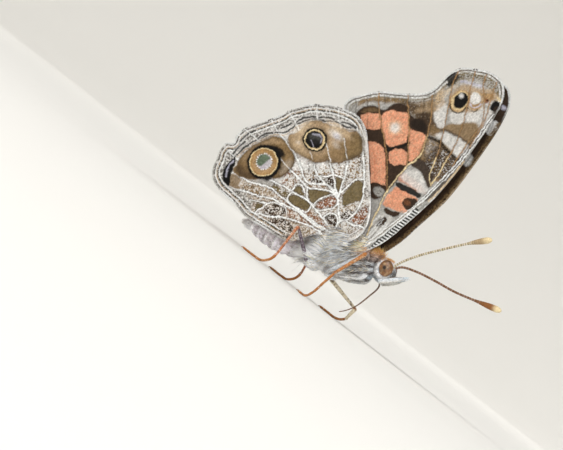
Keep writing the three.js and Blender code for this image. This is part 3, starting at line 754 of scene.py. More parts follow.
def paint_small_field(wing):
    """The tan field with the small eyespot."""
    fill, line, spot = wing.fill, wing.line, wing.spot
    fill("tan", [(-7.4, 20.15), (-6.5, 20), (-5.4, 19), (-4.95, 18.5), (-5.5, 17.4), (-6.1, 16.4),
        (-6.7, 15.7), (-7.3, 15.2), (-7.9, 15.2), (-8.2, 14.6), (-8.9, 14.05), (-10.2, 13.75),
        (-11.2, 13.55), (-12.2, 13.4), (-13, 13.6), (-13.6, 14.1), (-13.9, 14.6), (-13.4, 15.4),
        (-13.1, 16.2), (-13, 17), (-12.6, 17.9), (-12.1, 18.3), (-11.2, 18.6), (-10.3, 18.8),
        (-9.4, 19.2), (-8.6, 19.5), (-7.9, 19.6)], 0.08)
    fill("brown", [(-6.9, 19.6), (-7.6, 18.4), (-8.2, 16.6), (-9, 15), (-11, 14.4), (-12.2, 14),
        (-12.2, 13.5), (-10.2, 13.9), (-8.9, 14.2), (-7.9, 15.4), (-6.7, 15.9), (-5.6, 17.6)], 0.3, 0.55)
    fill("olive", [(-6.2, 20), (-5, 18.5), (-5.4, 17.3), (-6.2, 16.4), (-6.7, 16.8), (-6.8, 18.2),
        (-7.5, 19.5)], 0.25, 0.85)
    line("umber", [(-5.1, 18.3), (-5.5, 17.3), (-6.3, 16.1), (-7.3, 15.2), (-7.9, 15.15), (-8.3, 14.6),
        (-9, 14), (-10.2, 13.7), (-12.1, 13.4)], 0.14, 0.1, 0.6)
    fill("brown", [(-8.6, 19), (-6.6, 20), (-5.2, 18.6), (-6.6, 15.9), (-8.2, 15),
        (-8.6, 16.8)], 0.6, 0.6)
    line("umber", [(-7.4, 20), (-6.5, 20), (-5.4, 19), (-5, 18.5), (-5.5, 17.4), (-6.7, 15.7),
        (-7.9, 15.2), (-8.9, 14.05), (-10.2, 13.75), (-12.2, 13.45), (-13.4, 14),
        (-13.8, 14.7)], 0.5, 0.35, 0.5)
    line("umber", [(-13.2, 16.2), (-12.9, 17.4), (-12.1, 18.25), (-10.3, 18.8), (-8.6, 19.5), (-7.4, 20.1)],
        0.2, 0.14, 0.45, 0.1)
    spot("white", (-9.1, 18.3), (0.8, 0.45), 0.5, 0.6)
    spot("white", (-8.3, 17.3), (0.5, 0.3), 0.3, 0.25)
    spot("lilac", (-9, 18.2), (0.5, 0.3), 0.2, 0.5)
    spot("buff", (-12.9, 16.6), (0.45, 0.9), 0.4, 0.6)
    spot("buff", (-9.2, 19.1), (1.6, 0.35), 0.3, 0.6)
    spot("pale", (-12.4, 14.6), (0.35, 0.25), 0.12, 0.8)
    fill("brown", [(-13.7, 14.4), (-12.4, 13.5), (-9.2, 13.9), (-9.4, 14.7), (-12, 14.6),
        (-13.2, 15.6)], 0.3, 0.5)
    spot("buff", (-11.6, 15.6), (2.1, 1.9), 0.5, 0.4)
    spot("umber", (-10.85, 16.2), (1.9, 1.8), 0.3, 0.4)
    line("white", [(-8, 18.6), (-7, 17.6), (-6, 16.7)], 0.09, 0.05, 0.75)
    line("white", [(-9.3, 16.6), (-8.4, 15.9), (-7.5, 15.25)], 0.1, 0.05, 0.9)
    line("white", [(-10.4, 14.6), (-9.6, 14.1)], 0.08, 0.05, 0.6)
    for low, high in (((-9.2, 19), (-7.4, 19.4)), ((-8.6, 18), (-6.6, 18.9)),
            ((-8.2, 17.2), (-6.2, 18)), ((-12.8, 16.2), (-13, 17)), ((-12.2, 17.8), (-11.6, 18.3)),
            ((-7.4, 16.6), (-6.4, 17.2))):
        line("umber", [low, high], 0.16, 0.12, 0.3, 0.25)
    spot("black", (-10.85, 16.2), (1.62, 1.52), 0.07)
    spot("cream", (-10.87, 16.2), (1.36, 1.27), 0.05)
    spot("gold", (-10.87, 16.2), (1.22, 1.14), 0.06, 0.5)
    spot("black", (-10.93, 16.17), (1.14, 1.07), 0.05)
    spot("grey", (-10.95, 16.35), (0.8, 0.62), 0.3, 0.15)
    spot("black", (-10.6, 15.85), (0.6, 0.6), 0.25, 0.8)
    line("lilac", [(-11.5, 16.6), (-10.95, 16.95), (-10.3, 16.9), (-10.05, 16.4)], 0.18, 0.1, 0.75, 0.2)
    line("lilac", [(-11.3, 15.8), (-10.9, 15.7), (-10.4, 15.35)], 0.09, 0.06, 0.8)


def paint_large_field(wing):
    """The brown field with the large eyespot, and the dark crescent at the rear corner."""
    fill, line, spot = wing.fill, wing.line, wing.spot
    fill("brown", [(-12.2, 13.3), (-11.5, 12.9), (-11.15, 12.4), (-11, 11.5), (-11.15, 10.5),
        (-11.5, 9.6), (-12.2, 9), (-13, 8.5), (-13.6, 8), (-14.3, 7.4), (-15.2, 6.95), (-16.2, 6.7),
        (-17, 6.9), (-17.1, 7.6), (-17.15, 8.5), (-17.2, 9.5), (-17, 10.6), (-16.6, 11.3),
        (-16.3, 12), (-15.8, 12.9), (-15.2, 13.6), (-14.6, 13.8), (-13.4, 13.7)], 0.1)
    fill("tan", [(-16.9, 10), (-16.3, 11.8), (-15.4, 13.2), (-13.6, 13.5), (-14.6, 12.9), (-16.2, 11),
        (-16.7, 8.6)], 0.3, 0.6)
    fill("grey", [(-11.3, 12.4), (-11.2, 11), (-11.7, 10), (-12.1, 10.8), (-12.1, 12)], 0.25, 0.35)
    line("umber", [(-11.6, 12.9), (-11.15, 12.3), (-11.05, 11.5), (-11.2, 10.5),
        (-11.6, 9.7)], 0.12, 0.08, 0.6)
    fill("umber", [(-16.9, 7.8), (-16, 7.6), (-14.6, 7.7), (-13.8, 8.1), (-14.6, 7.2),
        (-16.2, 6.9)], 0.3, 0.5)
    fill("brown", [(-16.9, 6.5), (-15.3, 6.6), (-15.2, 6), (-14.7, 5.5), (-15.5, 5.2), (-16.2, 5.1),
        (-16.8, 5.9)], 0.12, 0.85)
    fill("umber", [(-16.9, 8.2), (-15.6, 7.9), (-13.2, 8.5), (-12.2, 9.2), (-13.4, 8.2), (-15.4, 7),
        (-16.8, 7)], 0.25, 0.5)
    line("umber", [(-17.1, 8.2), (-17.15, 9.6), (-16.6, 11.3), (-15.8, 12.9), (-14.9, 13.7), (-13.4, 13.7),
        (-11.9, 13.2), (-11.2, 12.3), (-11.05, 11), (-11.6, 9.6), (-12.6, 8.7)], 0.36, 0.25, 0.45)
    fill("buff", [(-12.1, 12.8), (-11.5, 12.2), (-11.3, 11), (-11.8, 10), (-12, 11.4)], 0.3, 0.15)
    spot("umber", (-14.3, 10.15), (2.5, 2.5), 0.25, 0.4)
    line("white", [(-13.9, 13.9), (-12.9, 13.55), (-12, 13.35)], 0.1, 0.05, 0.8)
    line("white", [(-12.9, 11.75), (-12, 11.5), (-11.1, 11.4)], 0.09, 0.05, 0.75)
    line("white", [(-12.8, 8.75), (-12.2, 9.1)], 0.08, 0.04, 0.6)
    # Large eyespot
    spot("black", (-14.35, 10.15), (2.22, 2.24), 0.1)
    spot("black", (-13.7, 12.2), (0.95, 0.5), 0.15, 0.95)
    spot("black", (-12.9, 9.2), (0.7, 0.9), 0.2, 0.9)
    spot("cream", (-14.42, 10.06), (1.86, 1.82), 0.04)
    spot("gold", (-14.42, 10.05), (1.74, 1.7), 0.05)
    spot("tan", (-14.4, 9.95), (1.45, 1.35), 0.2, 0.5)
    spot("umber", (-14.42, 10.1), (1.16, 1.14), 0.06, 0.25)
    spot("lilac", (-14.4, 10.13), (1, 1), 0.05, 0.75)
    spot("pale", (-13.9, 10.3), (0.5, 0.6), 0.2, 0.3)
    fill("moss", [(-15.35, 10.3), (-15.1, 10.85), (-14.6, 11.05), (-14.05, 11.05), (-14.1, 10.5),
        (-14.2, 10), (-14.5, 9.4), (-15, 9.3), (-15.35, 9.7)], 0.14)
    for step in range(20):
        turn = step * math.tau / 20
        spot("white", (-14.4 + 1.03 * math.cos(turn), 10.13 + 1.02 * math.sin(turn)),
            (0.085, 0.085), 0.03, 0.9)
    # Dark crescent with a blue gleam
    fill("black", [(-17.8, 8.5), (-17.4, 7.9), (-17.05, 7), (-16.8, 6.3), (-16.3, 5.5), (-16.05, 5.1),
        (-16.7, 4.95), (-17.35, 5.3), (-17.9, 6), (-18.15, 6.6), (-18.05, 7.6)], 0.06)
    line("lilac", [(-17.75, 7.9), (-17.8, 7.2), (-17.6, 6.5), (-17.2, 5.8)], 0.2, 0.08, 0.85)


def hindwing_upper(points, colours):
    """Orange-brown, darker at the root, with a row of dark spots before the margin."""
    wing = Painting(points, colours, "ember", 15, hindwing_free(points))
    wing.fill("umber", [(0, 7), (1, 11), (-2.4, 15), (-6, 13), (-7, 8),
        (-4, 5)], 1.2, 0.8)
    for centre in ((-14.4, 10.1), (-10.9, 16.2), (-12.9, 13.4), (-8, 18)):
        wing.spot("umber", centre, (0.95, 0.95), 0.15, 0.95)
        wing.spot("lilac", centre, (0.35, 0.35), 0.15, 0.8)
    edge = HINDWING_RIM[14:37]
    wing.line("umber", edge, 1.5, 0.3, 0.85)
    wing.line("ember", [(x * 0.955, 0.6 + z * 0.955) for x, z in edge], 0.3, 0.15, 0.8, 0.3)
    for vein in HINDWING_VEINS:
        wing.line("umber", vein, 0.14, 0.08, 0.7)
    wing.band("white", HINDWING_RIM, 0.0, 0.16, 0.8, 0.2)
    return wing.done()


FOREWING_PATCHES = [
    [(-5.5, 20.1), (-4.8, 20.55), (-3.6, 20.65), (-3.2, 20.55), (-1.6, 18.8), (-0.15, 17.1), (-0.9, 16.8),
        (-1.6, 16.55), (-1.9, 16.15), (-3, 17.5), (-4.4, 18.9)],
    [(-2.5, 20.6), (-2.3, 21.3), (-1.8, 21.75), (-0.9, 21.95), (-0.5, 21.9), (0.15, 21), (0.3, 20.6),
        (-0.3, 20.3), (-0.9, 19.7), (-1.5, 19.6), (-1.9, 19.8)],
    [(-5, 25.2), (-4.3, 25.65), (-3.7, 25.9), (-2.3, 24.4), (-1.5, 22.9), (-1.9, 22.3), (-2.5, 21.5),
        (-2.9, 21.2), (-3.6, 21.3), (-5, 22.4), (-6.1, 23.6), (-6.2, 24.1), (-5.6, 25)],
    [(-7.9, 22.9), (-7, 23.4), (-6.3, 23.7), (-5.2, 22.5), (-5.3, 22.1), (-5.9, 21.65), (-6.6, 21.3),
        (-7.6, 21.2), (-8.3, 22.1)],
    [(-2.3, 24.4), (-1.2, 24.8), (-0.6, 25.1), (0.2, 24.9), (0.5, 24), (0.75, 23), (0.85, 22.2),
        (0.5, 21.3), (0.2, 21.2), (-0.9, 22.7), (-1.5, 23.4)],
    [(0.95, 17.75), (1.6, 17.8), (2.3, 18.05), (4.2, 18.15), (4.4, 17.85), (3.4, 17.7), (2.9, 17.2),
        (2.85, 16.6), (3.3, 16.4), (4.1, 16.2), (3.9, 15.8), (3.4, 15.5), (2.5, 15.2), (1.5, 14.95),
        (1, 15), (0.7, 16.3)]]


def forewing_free(points):
    """1 along the free edge of a forewing, 0 at its root and leading edge."""
    return ease(points[:, 1] + points[:, 0] * 0.4, 17.0, 19.0) * ease(points[:, 0], 5.4, 4.6)


def forewing_underside(points, colours):
    """Orange patches in a dark frame, white bands, and two eyespots at the tip."""
    wing = Painting(points, colours, "grey", 25, forewing_free(points))
    fill, line, spot = wing.fill, wing.line, wing.spot
    # Margin and tip: mottled greys with brown lines along the rim
    fill("pale", [(-10.6, 23), (-5, 27.6), (-3, 29.6), (-2.8, 32.6), (-1, 35), (2, 36.1),
        (5, 34.6), (4.4, 32.6), (0, 32.9), (-1.2, 31), (-1, 28.6), (-3.4, 26.4), (-6, 25.9),
        (-8.6, 23.6)], 0.3, 0.6, 0.4)
    fill("umber", [(-10.6, 23), (-5, 27.6), (-3, 29.6), (-2.8, 32.6), (-1, 35), (2, 36.1),
        (5, 34.6), (4.4, 33.6), (1.2, 34.2), (-1.2, 33), (-1.4, 28.6), (-3.4, 26.6), (-6, 26.1),
        (-8.6, 23.6)], 0.3, 0.5, 0.6)
    fill("olive", [(-1.8, 35.2), (3, 36.2), (4.6, 35), (4.4, 33.4), (1, 34.6), (-1.8, 31),
        (-2.8, 31)], 0.4, 0.7, 0.5)
    for colour, low, high, amount, broken in (("umber", 0.22, 0.34, 0.85, 0.3),
            ("white", 0.38, 0.55, 0.7, 0.4), ("olive", 0.62, 0.8, 0.8, 0.35),
            ("umber", 0.95, 1.08, 0.6, 0.45)):
        wing.band(colour, FOREWING_RIM, low, high, amount, broken)
    line("olive", [(-7.8, 24.9), (-6.2, 26.1), (-5, 26.9), (-4.4, 27.1)], 0.3, 0.1, 0.7, 0.25)
    line("umber", [(-9.6, 23.3), (-8.6, 24.3), (-7.6, 25)], 0.2, 0.1, 0.6, 0.3)
    fill("brown", [(-5.4, 26.4), (-2.6, 26), (0.6, 25.4), (1.2, 26.6), (-0.8, 27.4), (-1.2, 29.6),
        (-2, 30.6), (-2.6, 28.8), (-3.8, 27.4)], 0.4, 0.9, 0.12)
    fill("umber", [(-5, 26.3), (-2.6, 26), (0.4, 25.6), (0.6, 26.8), (-0.8, 27.2),
        (-2.4, 27.8)], 0.5, 0.75, 0.25)
    fill("brown", [(-9.4, 22.8), (-8.8, 24), (-6.6, 25.4), (-5, 26.6), (-5.2, 26.9), (-7.6, 25.4),
        (-9.6, 23.6)], 0.25, 0.9, 0.15)
    fill("buff", [(-2.2, 29.4), (-1.4, 28.6), (-1.2, 30), (-1, 32.6), (-1.6, 31.2),
        (-2.2, 30.8)], 0.3, 0.6, 0.3)
    # Dark frame of the disc
    fill("umber", [(-9, 22.3), (-8.7, 23.3), (-7.6, 24.1), (-6.5, 24.3), (-6, 25.5), (-5.4, 26.2),
        (-4.3, 26.45), (-3.4, 26), (-2.6, 25.9), (-2.2, 26.25), (-1.5, 26.4), (-0.5, 26.1), (0.1, 25.4),
        (0.6, 24.4), (1, 22.4), (0.5, 20.6), (0.55, 17.2), (0.2, 15.4), (-0.6, 14.7), (-1.6, 15.4),
        (-2.2, 16.2), (-4.6, 19), (-6.8, 21), (-8.6, 21.4)], 0.12)
    fill("brown", [(-8.6, 22.5), (-8.3, 23.3), (-7.4, 23.95), (-6.6, 24), (-7.4, 23.4),
        (-8, 22.7)], 0.2, 0.5)
    fill("grey", [(-1.2, 16.1), (-0.4, 16.55), (0.25, 16.3), (0.15, 15.6), (-0.6, 15.35),
        (-1.05, 15.6)], 0.15, 0.85, 0.15)
    for outline in FOREWING_PATCHES:
        fill("orange", outline, 0.07, sharp=True)
        fill("buff", outline, 0.1, 0.4, 0.55, sharp=True)
        fill("ember", outline, 0.1, 0.25, 0.66, sharp=True)
    line("ember", [(-4.2, 19.6), (-3, 18.3), (-1.7, 16.8)], 0.1, 0.08, 0.6)
    line("ember", [(-4.7, 20.2), (-3.4, 19), (-2.2, 17.6)], 0.06, 0.06, 0.3)
    spot("buff", (-3.85, 23.45), (0.95, 0.9), 0.3, 0.5)
    spot("pale", (-3.85, 23.45), (0.6, 0.56), 0.3, 0.85)
    line("black", [(-2.75, 20.7), (-2.4, 21.35), (-1.75, 21.95), (-1.35, 22.6),
        (-1.15, 23)], 0.34, 0.1, 0.9)
    spot("black", (-3, 20.85), (0.35, 0.3), 0.12, 0.9)
    spot("umber", (-1.5, 26.7), (1.1, 0.8), 0.6, 0.75)
    spot("umber", (-4.4, 26.6), (1.2, 0.5), 0.4, 0.5)
    fill("black", [(-2.7, 25.6), (-2.2, 26.1), (-1.5, 26.25), (-0.6, 25.9), (-0.4, 25.4), (-1, 25.1),
        (-1.9, 24.85), (-2.5, 25)], 0.15, 0.6)
    # Cell, from the root out
    fill("grey", [(1.9, 10.9), (2.3, 10.9), (3.8, 16.3), (3.3, 15.5), (1.5, 14.9), (1.2, 13)], 0.15, 0.7)
    fill("pale", [(1.7, 10.6), (2.6, 10.6), (3.3, 13.6), (3, 14.4), (1.9, 14.2), (1.3, 12.8)], 0.25, 0.45)
    fill("umber", [(2.15, 13.85), (2.65, 13.9), (2.75, 13.5), (2.5, 12.9), (2.2, 12.3), (2, 12.4),
        (1.85, 13.1)], 0.07)
    fill("umber", [(1.45, 14.85), (2.3, 14.95), (3.6, 15.55), (3.5, 15.15), (3.1, 14.6), (2.2, 14.35),
        (1.7, 14.4)], 0.07)
    fill("umber", [(2.75, 17.2), (3.1, 17.6), (4, 18), (4.4, 17.9), (4.4, 16.9), (4, 16.3),
        (3.2, 16.4), (2.8, 16.6)], 0.08)
    spot("rust", (3.35, 17), (0.4, 0.32), 0.2, 0.6)
    fill("black", [(0.6, 18.2), (0.95, 18.4), (1.6, 18.5), (2.2, 18.72), (4.2, 18.8), (4.3, 18.35),
        (3, 18.12), (1.6, 17.78), (0.9, 17.85)], 0.06, 0.95)
    fill("orange", [(0.65, 18.5), (1.7, 18.75), (3.6, 18.95), (4.4, 19.3), (3.2, 19.8), (1.6, 19.8),
        (0.6, 19.5)], 0.2, 0.7)
    fill("pale", [(0.65, 19), (1.7, 18.95), (3.2, 19), (4.2, 18.95), (4.5, 19.7), (3.7, 20.2),
        (3, 20.7), (2.1, 21), (1.4, 20.7), (0.8, 20.2)], 0.2, 0.8)
    fill("umber", [(0.7, 21), (2.1, 21.05), (3, 20.75), (4, 20.2), (4.5, 20.1), (4.1, 21.4),
        (3.6, 22.5), (2, 22.6), (0.9, 22.4)], 0.1, 0.95)
    fill("brown", [(0.85, 22.5), (3.2, 22.4), (4.4, 21.2), (5, 21.6), (5.1, 25),
        (0.6, 25.2)], 0.15, 0.9)
    fill("pale", [(0.8, 24), (1.6, 23), (2.4, 22.9), (2.6, 24), (1.6, 25),
        (0.7, 25)], 0.3, 0.5, 0.35)
    fill("umber", [(1.8, 22.5), (4.2, 21.4), (4.9, 22), (5, 24.8), (2.2, 24.9),
        (1.6, 23.8)], 0.3, 0.95, 0.22)
    fill("pale", [(1.8, 22.7), (4.2, 21.7), (4.9, 22.3), (5, 24.7), (2.4, 24.8)], 0.2, 0.7, 0.66)
    fill("umber", [(1, 22.6), (2.6, 22.6), (2.8, 24.9), (0.8, 25)], 0.2, 0.6, 0.55)
    line("black", [(0.4, 25.1), (1.9, 25.4), (3, 25.2), (4, 25.15), (5.1, 24.95)], 0.42, 0.1, 0.9, 0.12)
    fill("pale", [(0.6, 25.7), (1.9, 25.75), (3.4, 25.5), (5.2, 25.35), (5.2, 27.5), (3.3, 27.2),
        (2.2, 27), (1.7, 26.8), (1, 26.2)], 0.12, 0.8)
    line("grey", [(2.6, 26.9), (3, 25.8)], 0.3, 0.2, 0.5)
    fill("brown", [(0.9, 26.7), (1.6, 27), (3.1, 27.35), (5.2, 27.4), (5.2, 28.4), (4.7, 29.7),
        (4.1, 30.1), (3.4, 29.9), (2.6, 28.9), (1.6, 28.2), (1.1, 27.5)], 0.2, 0.9)
    line("umber", [(1, 26.75), (1.7, 27.1), (3.1, 27.35), (5.1, 27.45)], 0.26, 0.14, 0.75)
    fill("pale", [(-1.2, 29.4), (-0.2, 29.5), (0.8, 27.9), (1.2, 27.3), (0.3, 26.8), (-0.6, 27.3),
        (-1.1, 28.2)], 0.15, 0.85)
    fill("brown", [(-0.4, 26.4), (0.4, 26.7), (1, 26.4), (0.9, 25.7), (0.2, 25.6)], 0.2, 0.6)
    fill("pale", [(0.6, 29.1), (2, 30.1), (2.7, 29), (1.5, 28.3)], 0.15, 0.7)
    fill("pale", [(2, 30.4), (3.2, 31.9), (4.6, 32.4), (5.1, 31.6), (5.1, 29.8), (4.2, 30.2),
        (2.6, 29.4)], 0.3, 0.8)
    line("tan", [(-0.9, 29.6), (-1.2, 28.4), (-2.4, 27.4), (-2.9, 26.8)], 0.5, 0.3, 0.7)
    # Tip: two eyespots and a white drop in golden tan
    fill("tan", [(-0.6, 30.2), (0.6, 29.3), (2, 30.3), (3.2, 31.2), (3.2, 33), (4.4, 34.1), (3.4, 34.6),
        (1.4, 33.6), (-0.4, 32.9), (-0.8, 31.4)], 0.25, 0.8, 0.12)
    fill("gold", [(1.6, 33.2), (2.6, 33.6), (3.4, 34.2), (3.9, 33.6), (3.1, 32.6), (3.2, 31.4), (2.4, 31),
        (2, 31.6), (2.9, 32.4), (2.4, 33.2)], 0.15, 0.75)
    spot("gold", (0.6, 31), (1.2, 1.45), 0.1, 0.9)
    spot("cream", (0.6, 31), (1.08, 1.3), 0.08, 0.6)
    line("black", [(-0.25, 30), (0.3, 29.5), (0.9, 29.45), (1.4, 29.75), (1.75, 30.3),
        (1.75, 30.8)], 0.16, 0.06, 0.9)
    spot("black", (0.65, 31.1), (0.86, 1.06), 0.08)
    spot("pale", (0.35, 31.62), (0.3, 0.3), 0.15, 0.9)
    fill("pale", [(1.35, 32.9), (2.2, 33), (2.7, 32.5), (2.55, 32), (2.1, 31.7), (1.65, 31.8),
        (1.35, 32.3)], 0.08)
    line("lilac", [(1.9, 31.55), (2.35, 31.3), (2.75, 31.6), (3, 32.2)], 0.18, 0.08, 0.9)
    line("black", [(1.9, 30.95), (2.4, 30.75), (3, 31), (3.15, 31.5)], 0.13, 0.05, 0.85, 0.35)
    spot("rust", (3.3, 33), (0.3, 0.34), 0.1, 0.9)
    spot("black", (3.35, 33.1), (0.16, 0.18), 0.08, 0.8)
    fill("black", [(4.15, 33.7), (4.7, 33.85), (5.05, 33.3), (5, 32.6), (4.4, 32.4), (4.1, 33)], 0.08)
    spot("cream", (4.5, 34.1), (0.35, 0.16), 0.1, 0.8)
    fill("black", [(-2.4, 33.4), (-1.8, 33.5), (-1.35, 33.2), (-1.25, 32.5), (-1.45, 31.7), (-2, 31.5),
        (-2.5, 31.9), (-2.6, 32.5)], 0.12, 0.9)
    spot("pale", (-2.2, 31.85), (0.14, 0.14), 0.06)
    line("lilac", [(-0.9, 33), (-0.5, 33.25), (-0.1, 33.3)], 0.3, 0.12, 0.8)
    line("lilac", [(0.2, 33.5), (1.1, 33.9), (1.7, 34.1)], 0.32, 0.12, 0.75)
    line("olive", [(-1.6, 34), (-0.2, 34.5), (1.6, 34.9), (3.2, 34.8), (4.2, 34.3)], 0.3, 0.15, 0.6, 0.35)
    line("olive", [(-1.9, 30.9), (-1.4, 31.8), (-1.1, 33.2), (-0.8, 33.8)], 0.25, 0.15, 0.6, 0.35)
    for strand in range(7):
        foot, head = 1.55 + 0.16 * strand, 1.5 + 0.26 * strand
        line("umber" if strand % 3 == 1 else "white",
            [(foot, 9.4), (0.4 * foot + 0.6 * head, 11.2), (head, 13.6)], 0.11, 0.06, 0.7, 0.25)
    # Leading edge: rungs of black and white near the root, then two cream lines
    line("umber", [(4.9, 19), (5.3, 21), (5.5, 25.4)], 0.9, 0.1, 0.8, 0.1)
    line("buff", [(5.45, 18.8), (5.75, 21), (5.85, 25.4)], 0.22, 0.06, 0.9, 0.15)
    line("umber", [(5.3, 24.6), (5.35, 28), (5.2, 31.4), (4.9, 33)], 0.5, 0.1, 0.75, 0.1)
    fill("black", [(3.1, 9.6), (3.5, 9.7), (4.55, 12.9), (4.95, 15), (5.2, 17), (4.75, 17.2),
        (4.2, 14.8), (3.6, 12.2)], 0.06, 0.95)
    for rung in range(18):
        share = rung / 17
        x, z = 3.2 + 1.75 * share - 0.25 * share * share, 9.9 + 6.9 * share
        line("white", [(x, z), (x + 0.62, z + 0.1)], 0.15, 0.05, 0.95, even=True)
    line("white", [(2.9, 8.9), (3.45, 9.9), (4.15, 11.4), (4.75, 13.2), (5.1, 15.1), (5.5, 17.3),
        (5.8, 19.6)], 0.2, 0.06)
    # Veins
    line("white", [(2.1, 9.6), (2.8, 11.4), (3.65, 14.3), (4.4, 17.4), (4.75, 20)], 0.13, 0.04, 0.95)
    line("white", [(2.55, 9.6), (3.3, 11.6), (4.1, 14.8), (4.75, 18), (5.1, 20.6)], 0.16, 0.04, 0.95)
    line("olive", [(2.4, 10), (3.1, 11.8), (3.9, 14.8), (4.55, 17.9)], 0.08, 0.04, 0.7)
    line("white", [(4.75, 19.8), (4.95, 21.4), (5.25, 24), (5.3, 28), (5.1, 32.2)], 0.14, 0.04, 0.95)
    line("white", [(5.1, 20.6), (5.4, 22.4), (5.6, 25), (5.6, 29), (5.4, 31.6)], 0.13, 0.04, 0.9)
    for vein in FOREWING_VEINS[3:9]:
        line("umber", vein, 0.28, 0.1, 0.4)
        line("straw", vein, 0.12, 0.04, 0.95)
    for vein in FOREWING_VEINS[5:7]:
        line("cream", vein[:3], 0.13, 0.04, 0.95)
    line("umber", FOREWING_VEINS[2], 0.34, 0.1, 0.5)
    line("cream", FOREWING_VEINS[2][:8], 0.17, 0.04, 0.95)
    line("straw", FOREWING_VEINS[2][6:], 0.13, 0.05, 0.9)
    for fold in ([(-6.7, 21.5), (-8.2, 23.2), (-9, 24.2)], [(-9, 21.9), (-9.6, 22.7), (-10.2, 23.3)],
            [(-2.2, 27), (-3.2, 28.6)], [(-6.8, 25), (-7.6, 26)]):
        line("umber", fold, 0.12, 0.06, 0.55)
    wing.band("white", FOREWING_RIM, 0.0, 0.16, 0.8, 0.2)
    return wing.done()


def forewing_upper(points, colours):
    """Orange with a dark tip, a white bar at the leading edge and small white spots."""
    wing = Painting(points, colours, "umber", 35, forewing_free(points))
    fill, line, spot = wing.fill, wing.line, wing.spot
    fill("ember", [(-8.6, 22.6), (-6, 25.2), (-3.6, 26), (0.2, 25), (2.4, 22), (4.4, 19.6),
        (3.9, 15), (2.4, 11.6), (0.2, 13), (-3.6, 16), (-8, 20.6)], 0.5, 0.9)
    fill("orange", [(-6.6, 22.8), (-4.2, 25), (-0.6, 24.4), (1.4, 20.6), (2.6, 16.4), (0.4, 16.4),
        (-3.4, 19.2)], 0.8, 0.6)
    fill("umber", [(3.4, 9), (1, 9), (-1.6, 12.6), (-0.6, 14.4), (2.8, 14.4), (4, 18.6),
        (5, 22), (5.8, 22), (5.2, 16)], 0.5, 0.95)
    for bar in ([(-6.4, 21.2), (-4.8, 21.8), (-3, 20.8)], [(-2.8, 20.7), (-1.3, 22.6), (-0.6, 25.4)],
            [(0.9, 18.2), (2.6, 18.5), (4.4, 18.6)], [(0.2, 17.2), (-0.4, 18.9), (-1.4, 19.6)],
            [(1.4, 14.7), (2.6, 14.8), (3.8, 15.4)], [(0.9, 21.2), (2.6, 21.2), (4.2, 20.4)]):
        line("umber", bar, 0.75, 0.2, 0.9)
    fill("white", [(2.6, 26), (5.3, 25.2), (5.4, 26.4), (2.8, 27)], 0.15, 0.85)
    fill("white", [(4.4, 30.1), (5.3, 30.1), (5.2, 31.9), (4.3, 31.8)], 0.1, 0.95)
    for centre in ((0.6, 31), (2.1, 32.4), (-0.9, 29.2), (3.6, 33.4)):
        spot("white", centre, (0.42, 0.42), 0.12, 0.9)
    spot("lilac", (4.4, 33.8), (0.35, 0.3), 0.1, 0.8)
    line("brown", [(3.4, 10), (4.6, 13.2), (5.3, 17.4), (5.8, 21), (5.8, 27),
        (5.3, 31.6)], 1.0, 0.2, 0.9, 0.3)
    line("buff", [(5.6, 18), (5.9, 21), (5.95, 24), (5.85, 29)], 0.3, 0.1, 0.8, 0.2)
    for vein in FOREWING_VEINS:
        line("umber", vein, 0.14, 0.08, 0.5)
    wing.band("white", FOREWING_RIM, 0.0, 0.16, 0.8, 0.2)
    return wing.done()


def scaled_finish(name, grain, relief, roughness):
    """Skin or wing covered in scales: its painted colours with fine grain and relief."""
    finish = Finish(name, {"Roughness": roughness, "Specular IOR Level": 0.12})
    cell = finish.cells(grain)
    tone = finish.cells(grain, "Color")
    patch = finish.noise(grain * 9, 3.0)
    light = 0.78 + 0.3 * finish.node("SeparateColor", {}, {0: tone}) + 0.14 * patch
    finish.feed(Base_Color=finish.shaded(finish.painted(), light),
                Normal=finish.bump(cell * -1.0 + 0.4 * patch, relief))
    return finish.material


class BUTTERFLY_OT_forewings(bpy.types.Operator):
    """Add both forewings"""

    bl_idname = "butterfly.forewings"
    bl_label = "Forewings"

    def execute(self, context):
        sizes, colours = context.scene.butterfly_wing_sizes, context.scene.butterfly_wing_colours
        plan = wing_plan(FOREWING_RIM, FOREWING_VEINS, sizes.step / MILLIMETRE)
        outer = forewing_underside(plan[0], colours)
        inner = forewing_upper(plan[0], colours)
        finish = scaled_finish("forewing_scales", 0.00011, 0.00003, 0.72)
        for name, side in SIDES.items():
            mesh = wing_mesh(f"forewing_{name}_scaled", plan, forewing_out, side, sizes, outer, inner,
                colours, lambda x, z: z + 0.4 * x > 17 and x < 5.0)
            place(f"forewing_{name}_scaled", mesh, finish, "forewing", f"forewing_{name}")
        return {"FINISHED"}


class BUTTERFLY_OT_hindwings(bpy.types.Operator):
    """Add both hindwings"""

    bl_idname = "butterfly.hindwings"
    bl_label = "Hindwings"

    def execute(self, context):
        sizes, colours = context.scene.butterfly_wing_sizes, context.scene.butterfly_wing_colours
        plan = wing_plan(HINDWING_RIM, HINDWING_VEINS, sizes.step / MILLIMETRE)
        outer = hindwing_underside(plan[0], colours)
        inner = hindwing_upper(plan[0], colours)
        finish = scaled_finish("hindwing_scales", 0.00011, 0.00003, 0.76)
        for name, side in SIDES.items():
            mesh = wing_mesh(f"hindwing_{name}_scaled", plan, hindwing_out, side, sizes, outer, inner,
                colours, lambda x, z: x < -5.5)
            place(f"hindwing_{name}_scaled", mesh, finish, "hindwing", f"hindwing_{name}")
        return {"FINISHED"}


# Body, limbs and coat, in millimetres: [x, distance out, z]

